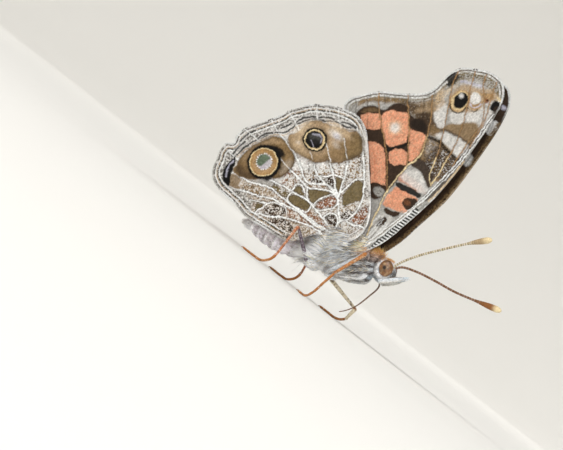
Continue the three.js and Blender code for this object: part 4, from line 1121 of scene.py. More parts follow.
PITCH = math.radians(20)
LUMPS = [
    # centre, half sizes
    ((0.3, 0, 6.8), (4.5, 2.45, 3.2)),
    ((3.9, 0, 7.6), (1.4, 1.5, 1.9)),
    ((4.0, 0.75, 9.5), (0.75, 0.75, 0.8)),
    ((2.6, 1.75, 8.7), (1.35, 0.75, 0.85)),
    ((0.5, 1.15, 4.5), (1.1, 0.9, 1.2)),
    ((-2.2, 1.1, 4.0), (1.3, 0.9, 1.25)),
]
HEAD = ((5.75, 0, 8.55), (1.45, 1.45, 1.6))
EYE = ((6.08, 1.16, 9.0), (0.9, 0.62, 1.05))
ABDOMEN = [(-2.4, 0, 5.6), (-5.0, 0, 4.35), (-8.0, 0, 3.65), (-10.4, 0, 3.25), (-12.35, 0, 2.8)]
ABDOMEN_RADIUS = 1.75
ABDOMEN_RINGS = 8
SOLE = 0.17
LIMBS = {
    "hind_femur": {"both": [(-2.5, 1.3, 3.6), (-4.9, 5.6, 6.4)]},
    "hind_tibia": {"both": [(-4.9, 5.6, 6.4), (-4.5, 6.8, 1.9)]},
    "hind_tarsus": {
        "both": [(-4.5, 6.8, 1.9), (-4.8, 6.9, 1.0), (-5.6, 7.0, SOLE + 0.1), (-6.5, 7.1, SOLE),
            (-8.4, 7.25, SOLE)]},
    "mid_femur": {"right": [(0.4, 1.5, 4.0), (3.9, 4.5, 9.0)], "left": [(0.5, 1.2, 3.75), (4.9, 3.4, 2.65)]},
    "mid_tibia": {"right": [(3.9, 4.5, 9.0), (2.65, 6.1, 4.6)],
        "left": [(4.9, 3.4, 2.65), (3.7, 7.0, 0.95)]},
    "mid_tarsus": {
        "right": [(2.65, 6.1, 4.6), (2.45, 6.6, 2.8), (2.25, 7.1, 1.1), (1.9, 7.6, SOLE + 0.05),
            (0.75, 7.8, SOLE)],
        "left": [(3.7, 7.0, 0.95), (3.1, 7.3, 0.45), (2.2, 7.6, SOLE), (1.2, 7.8, SOLE), (-0.25, 7.8, SOLE)]},
    "foreleg": {"both": [(4.6, 1.0, 6.9), (4.3, 1.6, 6.1), (3.1, 1.85, 5.3), (1.9, 1.8, 4.6)]},
    "antenna": {
        "right": [(6.5, 0.5, 9.5), (7.0, 0.8, 10.6), (8.6, 1.9, 12.7), (10.55, 2.9, 14.8),
            (13.4, 4.3, 17.7), (15.7, 5.5, 19.7)],
        "left": [(6.4, 0.5, 9.4), (7.1, 0.65, 10.3), (8.9, 1.0, 11.0), (11.3, 1.5, 11.5),
            (14.1, 2.0, 11.95), (17.9, 2.7, 13.0), (20.0, 3.1, 13.6)]},
    "palp": {"both": [(6.1, 0.7, 7.2), (7.1, 0.62, 7.95), (8.05, 0.55, 8.85), (8.95, 0.5, 9.8)]},
}
TONGUE = [(5.9, 0, 7.6), (6.5, 0, 6.6), (6.25, 0, 5.0), (5.7, 0, 3.0), (5.0, 0, 1.8), (4.4, 0, 1.15)]


def limb_route(name, side_name, step):
    """Evenly spaced points along a limb, on its own side."""
    ways = LIMBS[name]
    points = np.array(ways.get("both") or ways[side_name], float)
    return smooth_route(points * (1, SIDES[side_name], 1), step)


class BodySizes(bpy.types.PropertyGroup):
    """Sizes of the body, its coat and its limbs."""

    skin_detail: length("Skin Detail", "Grid that the skin is remade on", 0.00011)
    coat_depth: length("Coat Depth", "How far the skin lies under the coat", 0.00032)
    hair_length: length("Hair Length", "Longest hair, on the thorax", 0.0019)
    hair_width: length("Hair Width", "Width of a hair at its root", 0.0001)
    thorax_hairs: IntProperty(name="Thorax Hairs", description="Hairs on the thorax", default=10000, min=0)
    head_hairs: IntProperty(name="Head Hairs", description="Hairs on the head and collar", default=9000,
        min=0)
    abdomen_scales: IntProperty(name="Abdomen Scales", description="Scales on the abdomen", default=14000,
        min=0)
    limb_hairs: IntProperty(name="Limb Scales", description="Scales on a palp or a folded foreleg",
        default=1500, min=0)
    antenna_rings: IntProperty(name="Antenna Rings", description="Rings of one antenna", default=44, min=8)
    antenna_width: length("Antenna Width", "Shaft of an antenna", 0.00031)
    club_width: length("Club Width", "Thickest part of an antenna", 0.0008)
    femur_width: length("Femur Width", "Thigh", 0.00044)
    tibia_width: length("Tibia Width", "Shin", 0.00048)
    tarsus_width: length("Tarsus Width", "Foot", 0.00032)


class BodyColours(bpy.types.PropertyGroup):
    """Colours of the body, its coat and its limbs."""

    silver: tint("Silver", "Hair of the thorax", 244, 249, 255)
    slate: tint("Slate", "Streaks deep in the coat", 172, 162, 154)
    snow: tint("Snow", "Palps, rims of the eyes", 250, 252, 255)
    sky: tint("Sky", "Cheeks and palps in shade", 212, 226, 238)
    # Ginger at 0.4 of its colour also paints shade under the collar; at 1.25 it paints light on the collar.
    ginger: tint("Ginger", "Hair of the collar and the crown", 252, 176, 104)
    # Umber also paints shade under the collar, in the abdomen's creases and round the eye's pseudopupil.
    umber: tint("Umber", "Dark streaks", 74, 56, 44)
    olive: tint("Olive", "Hair between the eyes", 104, 88, 62)
    lilac: tint("Lilac", "Scales of the abdomen", 248, 242, 252)
    amber: tint("Amber", "Shins, feet and the far antenna", 172, 112, 62)
    rose: tint("Rose", "Hind shins", 186, 116, 80)
    mauve: tint("Mauve", "Thighs", 112, 94, 108)
    cream: tint("Cream", "Rings of the antennae", 236, 222, 194)
    straw: tint("Straw", "Tips of the antennae", 232, 214, 172)
    eye: tint("Eye", "Facets of the eye", 132, 90, 54)
    # Painted shade: the pseudopupil, the dark spot that the facets show towards the viewer.
    painted_pseudopupil: tint("Pupil", "Dark spot in the eye", 26, 14, 10)


def swept(shape, route, radii, sides, flatness=1.0):
    """A round limb along a route: one ring of points pushed out ring by ring and closed at both ends."""
    along = shape.verts.layers.float.get("along") or shape.verts.layers.float.new("along")
    route = [Vector(point) for point in route]
    ways = [(b - a).normalized() for a, b in zip([route[0], *route[:-1]], [*route[1:], route[-1]])]
    turn = ways[0].to_track_quat("Z", "Y")
    placings = []
    for point, way, radius in zip(route, ways, radii):
        turn = (turn @ Vector((0, 0, 1))).rotation_difference(way) @ turn
        placings.append(Matrix.LocRotScale(point, turn, (radius, radius * flatness, radius)))
    ring = bmesh.ops.create_circle(shape, segments=sides, radius=1.0)["verts"]
    edges = list({edge for vert in ring for edge in vert.link_edges})
    bmesh.ops.transform(shape, matrix=placings[0], verts=ring)
    first = edges
    for i, (before, after) in enumerate(zip(placings, placings[1:])):
        pushed = bmesh.ops.extrude_edge_only(shape, edges=edges)["geom"]
        ring = [item for item in pushed if isinstance(item, bmesh.types.BMVert)]
        members = set(ring)
        edges = [item for item in pushed
                 if isinstance(item, bmesh.types.BMEdge) and members.issuperset(item.verts)]
        bmesh.ops.transform(shape, matrix=after @ before.inverted(), verts=ring)
        for vert in ring:
            vert[along] = (i + 1) / (len(placings) - 1)
    for rim in (first, edges):
        bmesh.ops.contextual_create(shape, geom=rim)
    return shape


def rounded(route, radii):
    """Radii drawn in at both ends of a route, so that its ends are domes."""
    reach = np.concatenate([[0], np.cumsum(np.linalg.norm(np.diff(route, axis=0), axis=1))])
    ends = np.minimum(reach, reach[-1] - reach) / np.maximum(radii, 0.01)
    return radii * np.sqrt(np.clip(1 - (1 - np.minimum(ends, 1)) ** 2, 0.04, 1))


def lumped(shape, centre, half, less, side=1, rounds=4):
    """An ellipsoid that follows the slope of the body."""
    x, y, z = centre
    placing = Matrix.Translation((x, y * side, z)) @ Matrix.Rotation(-PITCH, 4, "Y") @ Matrix.Diagonal(
        (half[0] - less, half[1] - less, half[2] - less, 1))
    bmesh.ops.create_icosphere(shape, subdivisions=rounds, radius=1.0, matrix=placing)


def arrays_of(mesh):
    """Points and triangles of a mesh, in its own units."""
    mesh.calc_loop_triangles()
    points = np.empty(len(mesh.vertices) * 3, np.float32)
    mesh.vertices.foreach_get("co", points)
    triangles = np.empty(len(mesh.loop_triangles) * 3, np.int32)
    mesh.loop_triangles.foreach_get("vertices", triangles)
    return points.reshape(-1, 3).astype(float), triangles.reshape(-1, 3)


def by_place(points, triangles):
    """The same triangles, ordered by where they are, so that every run grows the same hair."""
    rank = np.empty(len(points), int)
    rank[np.lexsort(points.round(7).T)] = np.arange(len(points))
    start = rank[triangles].argmin(1)[:, None]
    triangles = np.take_along_axis(triangles, (start + np.arange(3)) % 3, 1)
    return points, triangles[np.lexsort(rank[triangles].T)]


def axis_height(x):
    """Height of the body's axis at a place along it."""
    return np.interp(x, [-12.4, -8, -5, -2.4, 0.3, 5.75], [2.8, 3.65, 4.35, 5.4, 6.6, 8.5])


def unwrapped(points):
    """Map of the body: round its axis one way and along it the other."""
    turn = np.arctan2(points[:, 1], points[:, 2] - axis_height(points[:, 0])) / math.tau + 0.5
    return np.stack([turn, (points[:, 0] + 13.5) / 24], 1)


def corner_map(points, triangles):
    """The body's map for each corner, kept together where it wraps round."""
    corners = unwrapped(points)[triangles]
    corners[..., 0] += corners[..., :1, 0] - corners[..., 0] > 0.5
    corners[..., 0] -= corners[..., 0] - corners[..., :1, 0] > 0.5
    return corners.reshape(-1, 2)


def finished(shape, name, colour_of, material, slot, *nodes):
    """A piece made of a shape in millimetres, painted by a function of place and share of the length."""
    bmesh.ops.triangulate(shape, faces=shape.faces)
    bmesh.ops.recalc_face_normals(shape, faces=shape.faces)
    layer = shape.verts.layers.float.get("along")
    along = np.array([vert[layer] if layer else 0.0 for vert in shape.verts])
    mesh = bpy.data.meshes.new(name)
    shape.to_mesh(mesh)
    shape.free()
    points, _ = arrays_of(mesh)
    paint(mesh, colour_of(points, along))
    spread = points.max(0) - points.min(0)
    keep = np.argsort(spread)[1:]
    flat = (points[:, keep] - points[:, keep].min(0)) / spread.max()
    mesh.uv_layers.new(name="OFBake")
    loops = np.empty(len(mesh.loops), np.int32)
    mesh.loops.foreach_get("vertex_index", loops)
    mesh.uv_layers["OFBake"].data.foreach_set("uv", (flat[loops] * 0.98 + 0.01).astype(np.float32).ravel())
    mesh.transform(Matrix.Scale(MILLIMETRE, 4))
    mesh.shade_smooth()
    return place(name, mesh, material, slot, *nodes)


def height_over(points):
    """How high a point lies over the sloping axis of the thorax and the head."""
    return points[:, 2] - 6.9 - 0.36 * points[:, 0]


def body_shade(points, colours):
    """The body's colours, the same for the skin and the coat: a ginger crown and collar, a silver thorax
    with darker streaks, and a lilac abdomen with a pale band at each ring. Painted shade darkens the parts
    under the collar and each ring's crease, and painted light brightens the collar."""
    x, _, z = points.T
    above = height_over(points)
    shade = np.tile(linear(colours.silver), (len(points), 1))

    def lay(name, share, light=1.0):
        shade[:] += (linear(getattr(colours, name)) * light - shade) * share[:, None]

    streak = patches(points @ np.array([(0.5, 0, -0.45), (0, 1, 0), (-0.2, 0, 0.6)]), 0.4, 3)
    lay("slate", ease(streak, 0.5, 0.8) * 0.75)
    # Painted shade under the collar and the tegulae: dark umber streaks, then ginger at 0.4 of its colour.
    lay("umber", ease(above, 0.0, 0.6) * ease(above, 1.5, 0.9) * ease(x, 1.6, 2.8) * ease(x, 4.8, 4.2)
        * ease(streak, 0.35, 0.6) * 0.8)
    lay("ginger",
        ease(above, 0.0, 0.5) * ease(above, 1.4, 1.0) * ease(x, 2.2, 3.0) * ease(x, 4.9, 4.4) * 0.6, 0.4)
    lay("umber", ease(above, 2.0, 2.8) * ease(x, 1.0, -1.0) * 0.5, 1.6)
    # Painted light: the collar's ginger at 1.25 of its colour, lighter where the forewing shades it.
    lay("ginger", ease(above, 0.9, 1.4) * ease(x, 2.4, 3.2), 1.25)
    lay("cream", ease(above, 0.9, 1.4) * ease(x, 1.2, 2.0) * ease(x, 3.2, 2.8), 1.2)
    lay("snow", ease(above, -1.9, -2.6) * ease(x, 1.0, -0.5) * 0.6)
    lay("umber",
        ease(above, -2.0, -2.4) * ease(above, -3.4, -2.9) * ease(x, -0.4, 0.1) * ease(x, 1.6, 1.1) * 0.7)
    tail = ease(x, -2.6, -3.6)
    band = (-x - 2.4) / 10.0 * ABDOMEN_RINGS
    lay("lilac", tail)
    lay("umber", tail * ease(x, -4.8, -6.4) * ease(z - axis_height(x), 0.3, 1.2) * 0.65, 1.5)
    lay("slate", tail * ease(patches(points, 0.3, 12), 0.45, 0.75) * 0.5)
    lay("snow", tail * ease(np.abs(band % 1 - 0.5), 0.36, 0.49) * 0.85)
    # Painted shade: a dark line in the crease just behind each ring's joint.
    lay("umber", tail * ease(np.abs(band % 1 - 0.16), 0.14, 0.04) * 0.4, 1.6)
    lay("snow", ease(x, -10.4, -11.2) * 0.95, 1.3)
    lay("cream", ease(x, -11.7, -12.3) * 0.5)
    front = ease(x, 4.5, 5.1)
    cheek = front * ease(above, 0.5, -0.3)
    lay("sky", cheek, 0.8)
    crimp = patches(points @ np.array([(0.6, 0, 0.5), (0, 1, 0), (0.5, 0, 0.6)]), 0.35, 9)
    lay("slate", cheek * ease(crimp, 0.55, 0.8) * 0.8)
    slope = above - 0.32 * (x - 4.6)
    for at in (-2.1, -1.3, -0.4, 0.4):
        lay("umber", ease(np.abs(slope - at), 0.26, 0.08) * ease(x, 1.6, 2.4) * ease(x, 6.2, 5.4)
            * ease(above, 0.9, 0.5) * 0.9)
    lay("ginger", front * ease(above, 0.3, 0.9), 1.15)
    lay("olive", ease(x, 6.5, 7.0) * ease(above, 1.6, 0.6) * ease(above, -1.6, -0.9))
    return shade * (0.86 + 0.28 * patches(points, 0.16, 21))[:, None]


DROOP = 0.35
STREAKS = 0.6


class Coat:
    """Locks of hair or scales: three-sided at the root, bent once, and pointed."""

    def __init__(self, seed):
        self.draw = np.random.default_rng(seed)
        self.groups = []

    def sow(self, points, triangles, count, wanted):
        """Roots spread evenly over the faces, each kept with the chance that wanted gives for its place."""
        a, b, c = (points[triangles[:, i]] for i in range(3))
        cross = np.cross(b - a, c - a)
        size = np.linalg.norm(cross, axis=1)
        size = np.maximum(size, 1e-12)
        chance = size * wanted((a + b + c) / 3)
        face = self.draw.choice(len(triangles), count, p=chance / chance.sum())
        u, v = self.draw.random((2, count))
        over = u + v > 1
        u[over], v[over] = 1 - u[over], 1 - v[over]
        roots = a[face] + u[:, None] * (b - a)[face] + v[:, None] * (c - a)[face]
        return roots, cross[face] / size[face][:, None]

    def grow(self, roots, normals, lie, lift, sizes, widths, shades, thin=0.32):
        """Locks that leave the skin by lift, then bend over towards the lie."""
        lift, sizes, widths = (np.broadcast_to(given, len(roots))[:, None] for given in (lift, sizes, widths))
        lie = lie - (lie * normals).sum(1)[:, None] * normals
        lie /= np.maximum(np.linalg.norm(lie, axis=1), 1e-9)[:, None]
        across = np.stack([(roots * np.cross(lie, normals)).sum(1), (roots * lie).sum(1) * 0.16], 1)
        streak = ease(patches(across, 0.15, 41), 0.3, 0.7)[:, None]
        lie += self.draw.normal(0, 0.16, lie.shape)
        out = lie + normals * lift
        out /= np.linalg.norm(out, axis=1)[:, None]
        over = lie + normals * lift * DROOP
        over /= np.linalg.norm(over, axis=1)[:, None]
        side = np.cross(out, normals)
        side /= np.maximum(np.linalg.norm(side, axis=1), 1e-9)[:, None]
        up = np.cross(side, out)
        reach = sizes * self.draw.uniform(0.7, 1.15, (len(roots), 1))
        start = roots - normals * 0.04
        middle = start + out * reach * 0.5
        tip = middle + over * reach * 0.55
        rings = []
        for centre, share in ((start, 1.0), (middle, 0.8)):
            for turn in (0, math.tau / 3, math.tau * 2 / 3):
                turned = side * math.sin(turn) + up * math.cos(turn) * thin
                rings.append(centre + turned * widths * share / 2)
        points = np.stack([*rings, tip], 1)
        # Painted shade darkens each lock's root, deep in the coat; its tip is lighter.
        light = np.array([0.7, 0.7, 0.7, 1.0, 1.0, 1.0, 1.15])
        shade = shades * self.draw.uniform(0.85, 1.12, (len(roots), 1))
        shade = shade * (1 - STREAKS / 2 + STREAKS * streak)
        colours = shade[:, None, :] * light[None, :, None]
        spread = TUFT_PATCH / 2 * np.array([(0, 0), (1, 0), (2, 0), (0, 1), (1, 1), (2, 1), (1, 2)])
        self.groups.append((points, colours, unwrapped(roots)[:, None, :] * 0.99 + spread[None]))

    def mesh(self, name):
        """One mesh of all the locks."""
        points, colours, maps = (np.concatenate([group[i] for group in self.groups]) for i in range(3))
        lock = np.array([(0, 1, 4), (0, 4, 3), (1, 2, 5), (1, 5, 4), (2, 0, 3), (2, 3, 5), (3, 4, 6),
            (4, 5, 6), (5, 3, 6), (0, 2, 1)])
        if signed_volume(points[0], lock) < 0:
            lock = lock[:, ::-1]
        faces = (lock[None] + 7 * np.arange(len(points))[:, None, None]).reshape(-1, 3)
        corner_uv = maps.reshape(-1, 2)[faces].reshape(-1, 2)
        return mesh_from(name, points.reshape(-1, 3), faces, np.clip(colours.reshape(-1, 3), 0, 1),
            corner_uv)


def hair_finish(name):
    """Silky hair or scales, in the colours stored on the locks."""
    finish = Finish(name, {"Roughness": 0.6, "Specular IOR Level": 0.35, "Sheen Weight": 0.35,
                           "Sheen Roughness": 0.3})
    light = 0.9 + 0.2 * finish.noise(0.00025, 2.0)
    finish.feed(Base_Color=finish.shaded(finish.painted(), light))
    return finish.material


def limb_coat(piece, name, slot, count, seed, lie, shade, brush):
    """Short hair over a limb. Brush gives its lift and length from the roots and normals."""
    points, triangles = by_place(*arrays_of(piece.data))
    coat = Coat(seed)
    roots, normals = coat.sow(points / MILLIMETRE, triangles, count, lambda at: np.ones(len(at)))
    lift, reach, width = brush(roots, normals)
    coat.grow(roots, normals, np.tile(lie, (count, 1)), lift, reach, width,
              shade(roots) * np.where(coat.draw.random(count) < 0.15, 0.5, 1)[:, None])
    place(name, coat.mesh(name), hair_finish(name), slot)


def body_skin(sizes):
    """One skin from the head to the tip of the abdomen, without a seam."""
    shape = bmesh.new()
    depth = sizes.coat_depth / MILLIMETRE
    for centre, half in LUMPS:
        for side in ((1, -1) if centre[1] else (1,)):
            lumped(shape, centre, half, depth, side)
    lumped(shape, *HEAD, depth * 0.55)
    route = smooth_route(ABDOMEN, 0.12)
    share = np.linspace(0, 1, len(route))
    belly = np.sin(np.pi * (0.2 + 0.8 * share) ** 1.35) ** 0.6
    rings = 1 - 0.1 * np.abs(np.cos(np.pi * share * ABDOMEN_RINGS)) ** 8
    swept(shape, route, np.maximum(0.2, ABDOMEN_RADIUS * belly * rings - depth * 0.45), 32)
    rough = bpy.data.meshes.new("rough_body")
    shape.to_mesh(rough)
    shape.free()
    holder = bpy.data.objects.new("rough_body", rough)
    bpy.context.collection.objects.link(holder)
    remesh = holder.modifiers.new("skin", "REMESH")
    remesh.mode = "VOXEL"
    remesh.voxel_size = sizes.skin_detail / MILLIMETRE
    smooth = holder.modifiers.new("smooth", "SMOOTH")
    smooth.factor = 0.5
    smooth.iterations = 8
    bpy.context.view_layer.update()
    made = bpy.data.meshes.new_from_object(holder.evaluated_get(bpy.context.evaluated_depsgraph_get()))
    bpy.data.objects.remove(holder)
    return arrays_of(made)


def coat_lie(points):
    """The lie of the coat: back along the top, down the sides, and straight back over the abdomen."""
    x, side = points[:, 0], ease(np.abs(points[:, 1]), 0.3, 1.4)
    down = side * ease(x, -1.9, -0.9) * ease(height_over(points), 3.0, 1.5) * ease(height_over(points),
        -2.6, -1.2)
    steep = 20 + 36 * down * ease(x, 3.4, 1.6) + 15 * side * ease(x, 1.6, 3.4) - 14 * side * ease(x, -0.9,
        -1.9)
    turn = np.radians(steep)
    return np.stack([-np.cos(turn), np.zeros(len(x)), -np.sin(turn)], 1)


class BUTTERFLY_OT_body(bpy.types.Operator):
    """Add the skin of the body with its coat of hair and scales"""

    bl_idname = "butterfly.body"
    bl_label = "Body"

    def execute(self, context):
        sizes, colours = context.scene.butterfly_body_sizes, context.scene.butterfly_body_colours
        points, triangles = body_skin(sizes)
        skin = mesh_from("body_skin", points, triangles, body_shade(points, colours) * 0.9,
                         corner_map(points, triangles))
        place("body_skin", skin, scaled_finish("body_skin", 0.0001, 0.00002, 0.7), "fur",
              "thorax", "abdomen", "head")
        finish = hair_finish("silky_hair")
        for name, coat, slot in (("thorax_hair", self.thorax_hair, "fur"),
                ("rear_fans", self.rear_fans, "fur"), ("head_hair", self.head_hair, "head_fur"),
                ("abdomen_scales", self.abdomen_scales, "fur")):
            place(name, coat(points, triangles, sizes, colours).mesh(name), finish, slot)
        return {"FINISHED"}

    def mingled(self, coat, shades, colours):
        """Some hairs of a coat darker, and some cream."""
        chance = coat.draw.random(len(shades))[:, None]
        cream = linear(colours.cream) / linear(colours.silver)
        return np.where(chance < 0.16, shades * 0.45, np.where(chance < 0.34, shades * cream, shades))

    def thorax_hair(self, points, triangles, sizes, colours):
        """Short dark wool under long silver hair."""
        coat = Coat(3)
        long_hair, width = sizes.hair_length / MILLIMETRE, sizes.hair_width / MILLIMETRE
        for count, reach, wide, lift, light in ((sizes.thorax_hairs // 4, 0.35, 1.2, 0.4, 0.85),
                                                (sizes.thorax_hairs, 0.8, 0.95, 0.15, 1.0)):
            roots, normals = coat.sow(points, triangles, count,
                                      lambda at: ease(at[:, 0], -3.8, -2.8) * ease(at[:, 0], 5.2, 4.6))
            above = height_over(roots)
            collar = ease(above, 0.8, 1.4) * ease(roots[:, 0], 2.6, 3.4)
            belly = ease(above, -1.3, -2.2)
            size = long_hair * reach * (1 - 0.45 * collar - 0.72 * belly) * ease(roots[:, 0], 7.0, 3.0)
            shades = self.mingled(coat, body_shade(roots, colours) * light, colours)
            coat.grow(roots, normals, coat_lie(roots), lift + 0.5 * collar, size, width * wide, shades)
        return coat

    def rear_fans(self, points, triangles, sizes, colours):
        """A fan of crimped hair on each side, and hair that hides the roots of the hindwings."""
        coat = Coat(4)
        width = sizes.hair_width / MILLIMETRE

        def chance(at):
            along = ease(at[:, 0], -3.6, -3.0) * ease(at[:, 0], -0.9, -1.6)
            return along * ease(np.abs(at[:, 1]), 0.9, 1.5) * ease(height_over(at), -2.1, -1.5)

        roots, normals = coat.sow(points, triangles, sizes.thorax_hairs // 3, chance)
        spread = (roots[:, 2] - 5.9) * 0.16
        lie = np.stack([-np.ones(len(roots)), np.zeros(len(roots)), spread - 0.12], 1)
        # Painted light: the fans' colours at 1.9, clipped at white, against the hindwings' shade.
        coat.grow(roots, normals, lie, 0.55, sizes.hair_length / MILLIMETRE * 1.3, width * 1.1,
                  self.mingled(coat, body_shade(roots, colours) * 1.9, colours))
        count = sizes.thorax_hairs // 10
        wing_roots = ((hindwing_out, (-0.9, 2.3), (8.2, 1.4)), (forewing_out, (2.0, 1.3), (9.3, 1.5)))
        for side in SIDES.values():
            for out, (mid_x, half_x), (mid_z, half_z) in wing_roots:
                x = coat.draw.uniform(mid_x - half_x, mid_x + half_x, count)
                z = coat.draw.uniform(mid_z - half_z, mid_z + half_z, count)
                reach = np.hypot((x - mid_x) / half_x, (z - mid_z) / half_z)
                near = reach < coat.draw.uniform(0.3, 1.05, count)
                x, z = x[near], z[near]
                roots = np.stack([x, side * (out(x, z) + 0.05), z], 1)
                normals = np.tile((0.0, side, 0.0), (len(roots), 1))
                lie = np.stack([-0.8 + 0 * x, 0 * x, -0.75 + 0.12 * (z - 7)], 1)
                # Painted light: the hair at the wing roots at 1.2 of its colours, against the wings' shade.
                coat.grow(roots, normals, lie, 0.14, sizes.hair_length / MILLIMETRE * 0.62, width,
                          self.mingled(coat, body_shade(roots * (1, 0.8, 1), colours) * 1.2, colours))
        return coat

    def head_hair(self, points, triangles, sizes, colours):
        """Upright hair on the crown and collar, bristles on the face, and white rings round the eyes."""
        coat = Coat(5)
        width = sizes.hair_width / MILLIMETRE

        def from_eye(at):
            sides = [np.array(EYE[0]) * (1, side, 1) for side in SIDES.values()]
            return np.min([np.linalg.norm((at - centre) / EYE[1], axis=1) for centre in sides], 0)

        roots, normals = coat.sow(points, triangles, sizes.head_hairs,
                                  lambda at: ease(at[:, 0], 3.2, 4.2) * ease(from_eye(at), 1.0, 1.12))
        x, above = roots[:, 0], height_over(roots)
        collar = ease(x, 5.3, 4.4) * ease(above, 0.0, 0.8)
        crown = ease(above, 0.2, 0.9) * ease(x, 4.8, 5.4)
        face = ease(x, 6.3, 6.8)
        lie = np.stack([-0.8 + 0.3 * collar + 0.9 * crown + 1.6 * face, np.zeros(len(x)),
                        -0.55 + 0.5 * collar + 0.9 * crown + 0.6 * face], 1)
        coat.grow(roots, normals, lie, 0.35 + 1.3 * np.maximum(collar, crown) + 0.8 * face,
                  0.5 + 0.65 * collar + 0.1 * crown + 0.1 * face, width * 0.8,
                  body_shade(roots, colours) * np.where(coat.draw.random(len(x)) < 0.25, 0.6, 1.0)[:, None])
        roots, normals = coat.sow(points, triangles, sizes.head_hairs // 3,
                                  lambda at: ease(from_eye(at), 0.98, 1.02) * ease(from_eye(at), 1.34, 1.16)
                                  * ease(np.abs(at[:, 1]), 0.35, 0.7))
        off = roots - np.array(EYE[0]) * (1, 0, 1)
        off[:, 1] = 0
        rear = np.maximum(ease(off[:, 0] - off[:, 2] * 0.2, 0.45, 0.0), ease(off[:, 2], 0.1, -0.3))
        shades = linear(colours.snow) * rear[:, None] + linear(colours.ginger) * (1 - rear[:, None])
        coat.grow(roots, normals, off + (0, 0, -0.2), 0.45 + 0.3 * rear, 0.26 + 0.2 * rear, width * 1.3,
            shades)
        return coat

    def abdomen_scales(self, points, triangles, sizes, colours):
        """Short flat scales, longer and looser at the tip."""
        coat = Coat(7)
        roots, normals = coat.sow(points, triangles, sizes.abdomen_scales,
            lambda at: ease(at[:, 0], -2.2, -3.2))
        tip = ease(roots[:, 0], -10.9, -11.6)
        coat.grow(roots, normals, coat_lie(roots), 0.16 + 1.0 * tip, 0.32 + 0.34 * tip, 0.115,
                  body_shade(roots, colours), thin=0.22)
        return coat


class BUTTERFLY_OT_eyes(bpy.types.Operator):
    """Add both compound eyes"""

    bl_idname = "butterfly.eyes"
    bl_label = "Eyes"

    def execute(self, context):
        colours = context.scene.butterfly_body_colours
        finish = Finish("faceted_eye", {"Roughness": 0.28, "Coat Roughness": 0.15,
            "Specular IOR Level": 0.5})
        facet = finish.cells(0.00007)
        finish.feed(Base_Color=finish.shaded(finish.painted(), 0.8 + 0.35 * finish.cells(0.00007, "Color")),
                    Normal=finish.bump(facet * -1.0, 0.00001))
        for name, side in SIDES.items():
            shape = bmesh.new()
            lumped(shape, *EYE, 0.0, side, 5)

            def shade(points, along, side=side):
                (x, y, z), _ = EYE
                off = points - (x, y * side, z)
                core = np.hypot(off[:, 0] + 0.05, off[:, 2] + 0.05)
                # The last two layers are painted shade: the pseudopupil, a dark spot with a darker halo,
                # fixed on the eye.
                return layered(points, linear(colours.eye),
                               (colours.straw, ease(patches(points, 0.3, 6), 0.5, 0.85) * 0.25),
                               (colours.umber, ease(patches(points, 0.26, 4), 0.5, 0.8) * 0.65),
                               (colours.umber, ease(off[:, 2], 0.3, 1.0) * 0.6),
                               (colours.umber, ease(core, 0.42, 0.2) * 0.5),
                               (colours.painted_pseudopupil, ease(core, 0.27, 0.17)))

            finished(shape, f"eye_{name}_faceted", shade, finish.material, "eye", f"eye_{name}")
        return {"FINISHED"}


class BUTTERFLY_OT_antennae(bpy.types.Operator):
    """Add both antennae"""

    bl_idname = "butterfly.antennae"
    bl_label = "Antennae"

    def execute(self, context):
        sizes, colours = context.scene.butterfly_body_sizes, context.scene.butterfly_body_colours
        material = scaled_finish("antenna_scales", 0.00008, 0.000015, 0.5)
        rings = sizes.antenna_rings
        for name in SIDES:
            route = limb_route("antenna", name, 0.05)
            share = np.linspace(0, 1, rings * 4 + 1)
            route = np.stack([np.interp(share, np.linspace(0, 1, len(route)), axis) for axis in route.T], 1)
            club = ease(share, 0.72, 0.93) * (1 - 0.6 * ease(share, 0.955, 1.0))
            width = sizes.antenna_width + (sizes.club_width - sizes.antenna_width) * club
            pinch = 1 - 0.14 * (np.arange(len(share)) % 4 == 0) * (1 - club)
            root = 1 + 0.5 * ease(share, 0.03, 0.0)
            radii = width / MILLIMETRE / 2 * pinch * root * np.sqrt(np.clip((1 - share) / 0.012, 0.05, 1))
            shape = swept(bmesh.new(), route, radii, 12)
            near = name == "right"

            def shade(points, along, near=near):
                dark = (linear(colours.amber) + linear(colours.umber)) * 0.42
                ground = linear(colours.straw) * 0.7 if near else dark
                snow, amber, straw = (0.5, 0.4, 0.8) if near else (0.2, 0.8, 0.95)
                phase = (along * rings) % 1
                club = ease(along, 0.74, 0.88)
                return layered(points, ground,
                               (colours.snow, ease(phase, 0.35, 0.1) * (1 - club) * snow),
                               (colours.umber, ease(phase, 0.5, 0.75) * 0.7 * (1 - 0.6 * club)),
                               (colours.amber, club * amber, 0.6),
                               (colours.straw, ease(along, 0.9, 0.965) * straw))

            finished(shape, f"antenna_{name}_ringed", shade, material, "antenna", f"antenna_{name}")
        return {"FINISHED"}


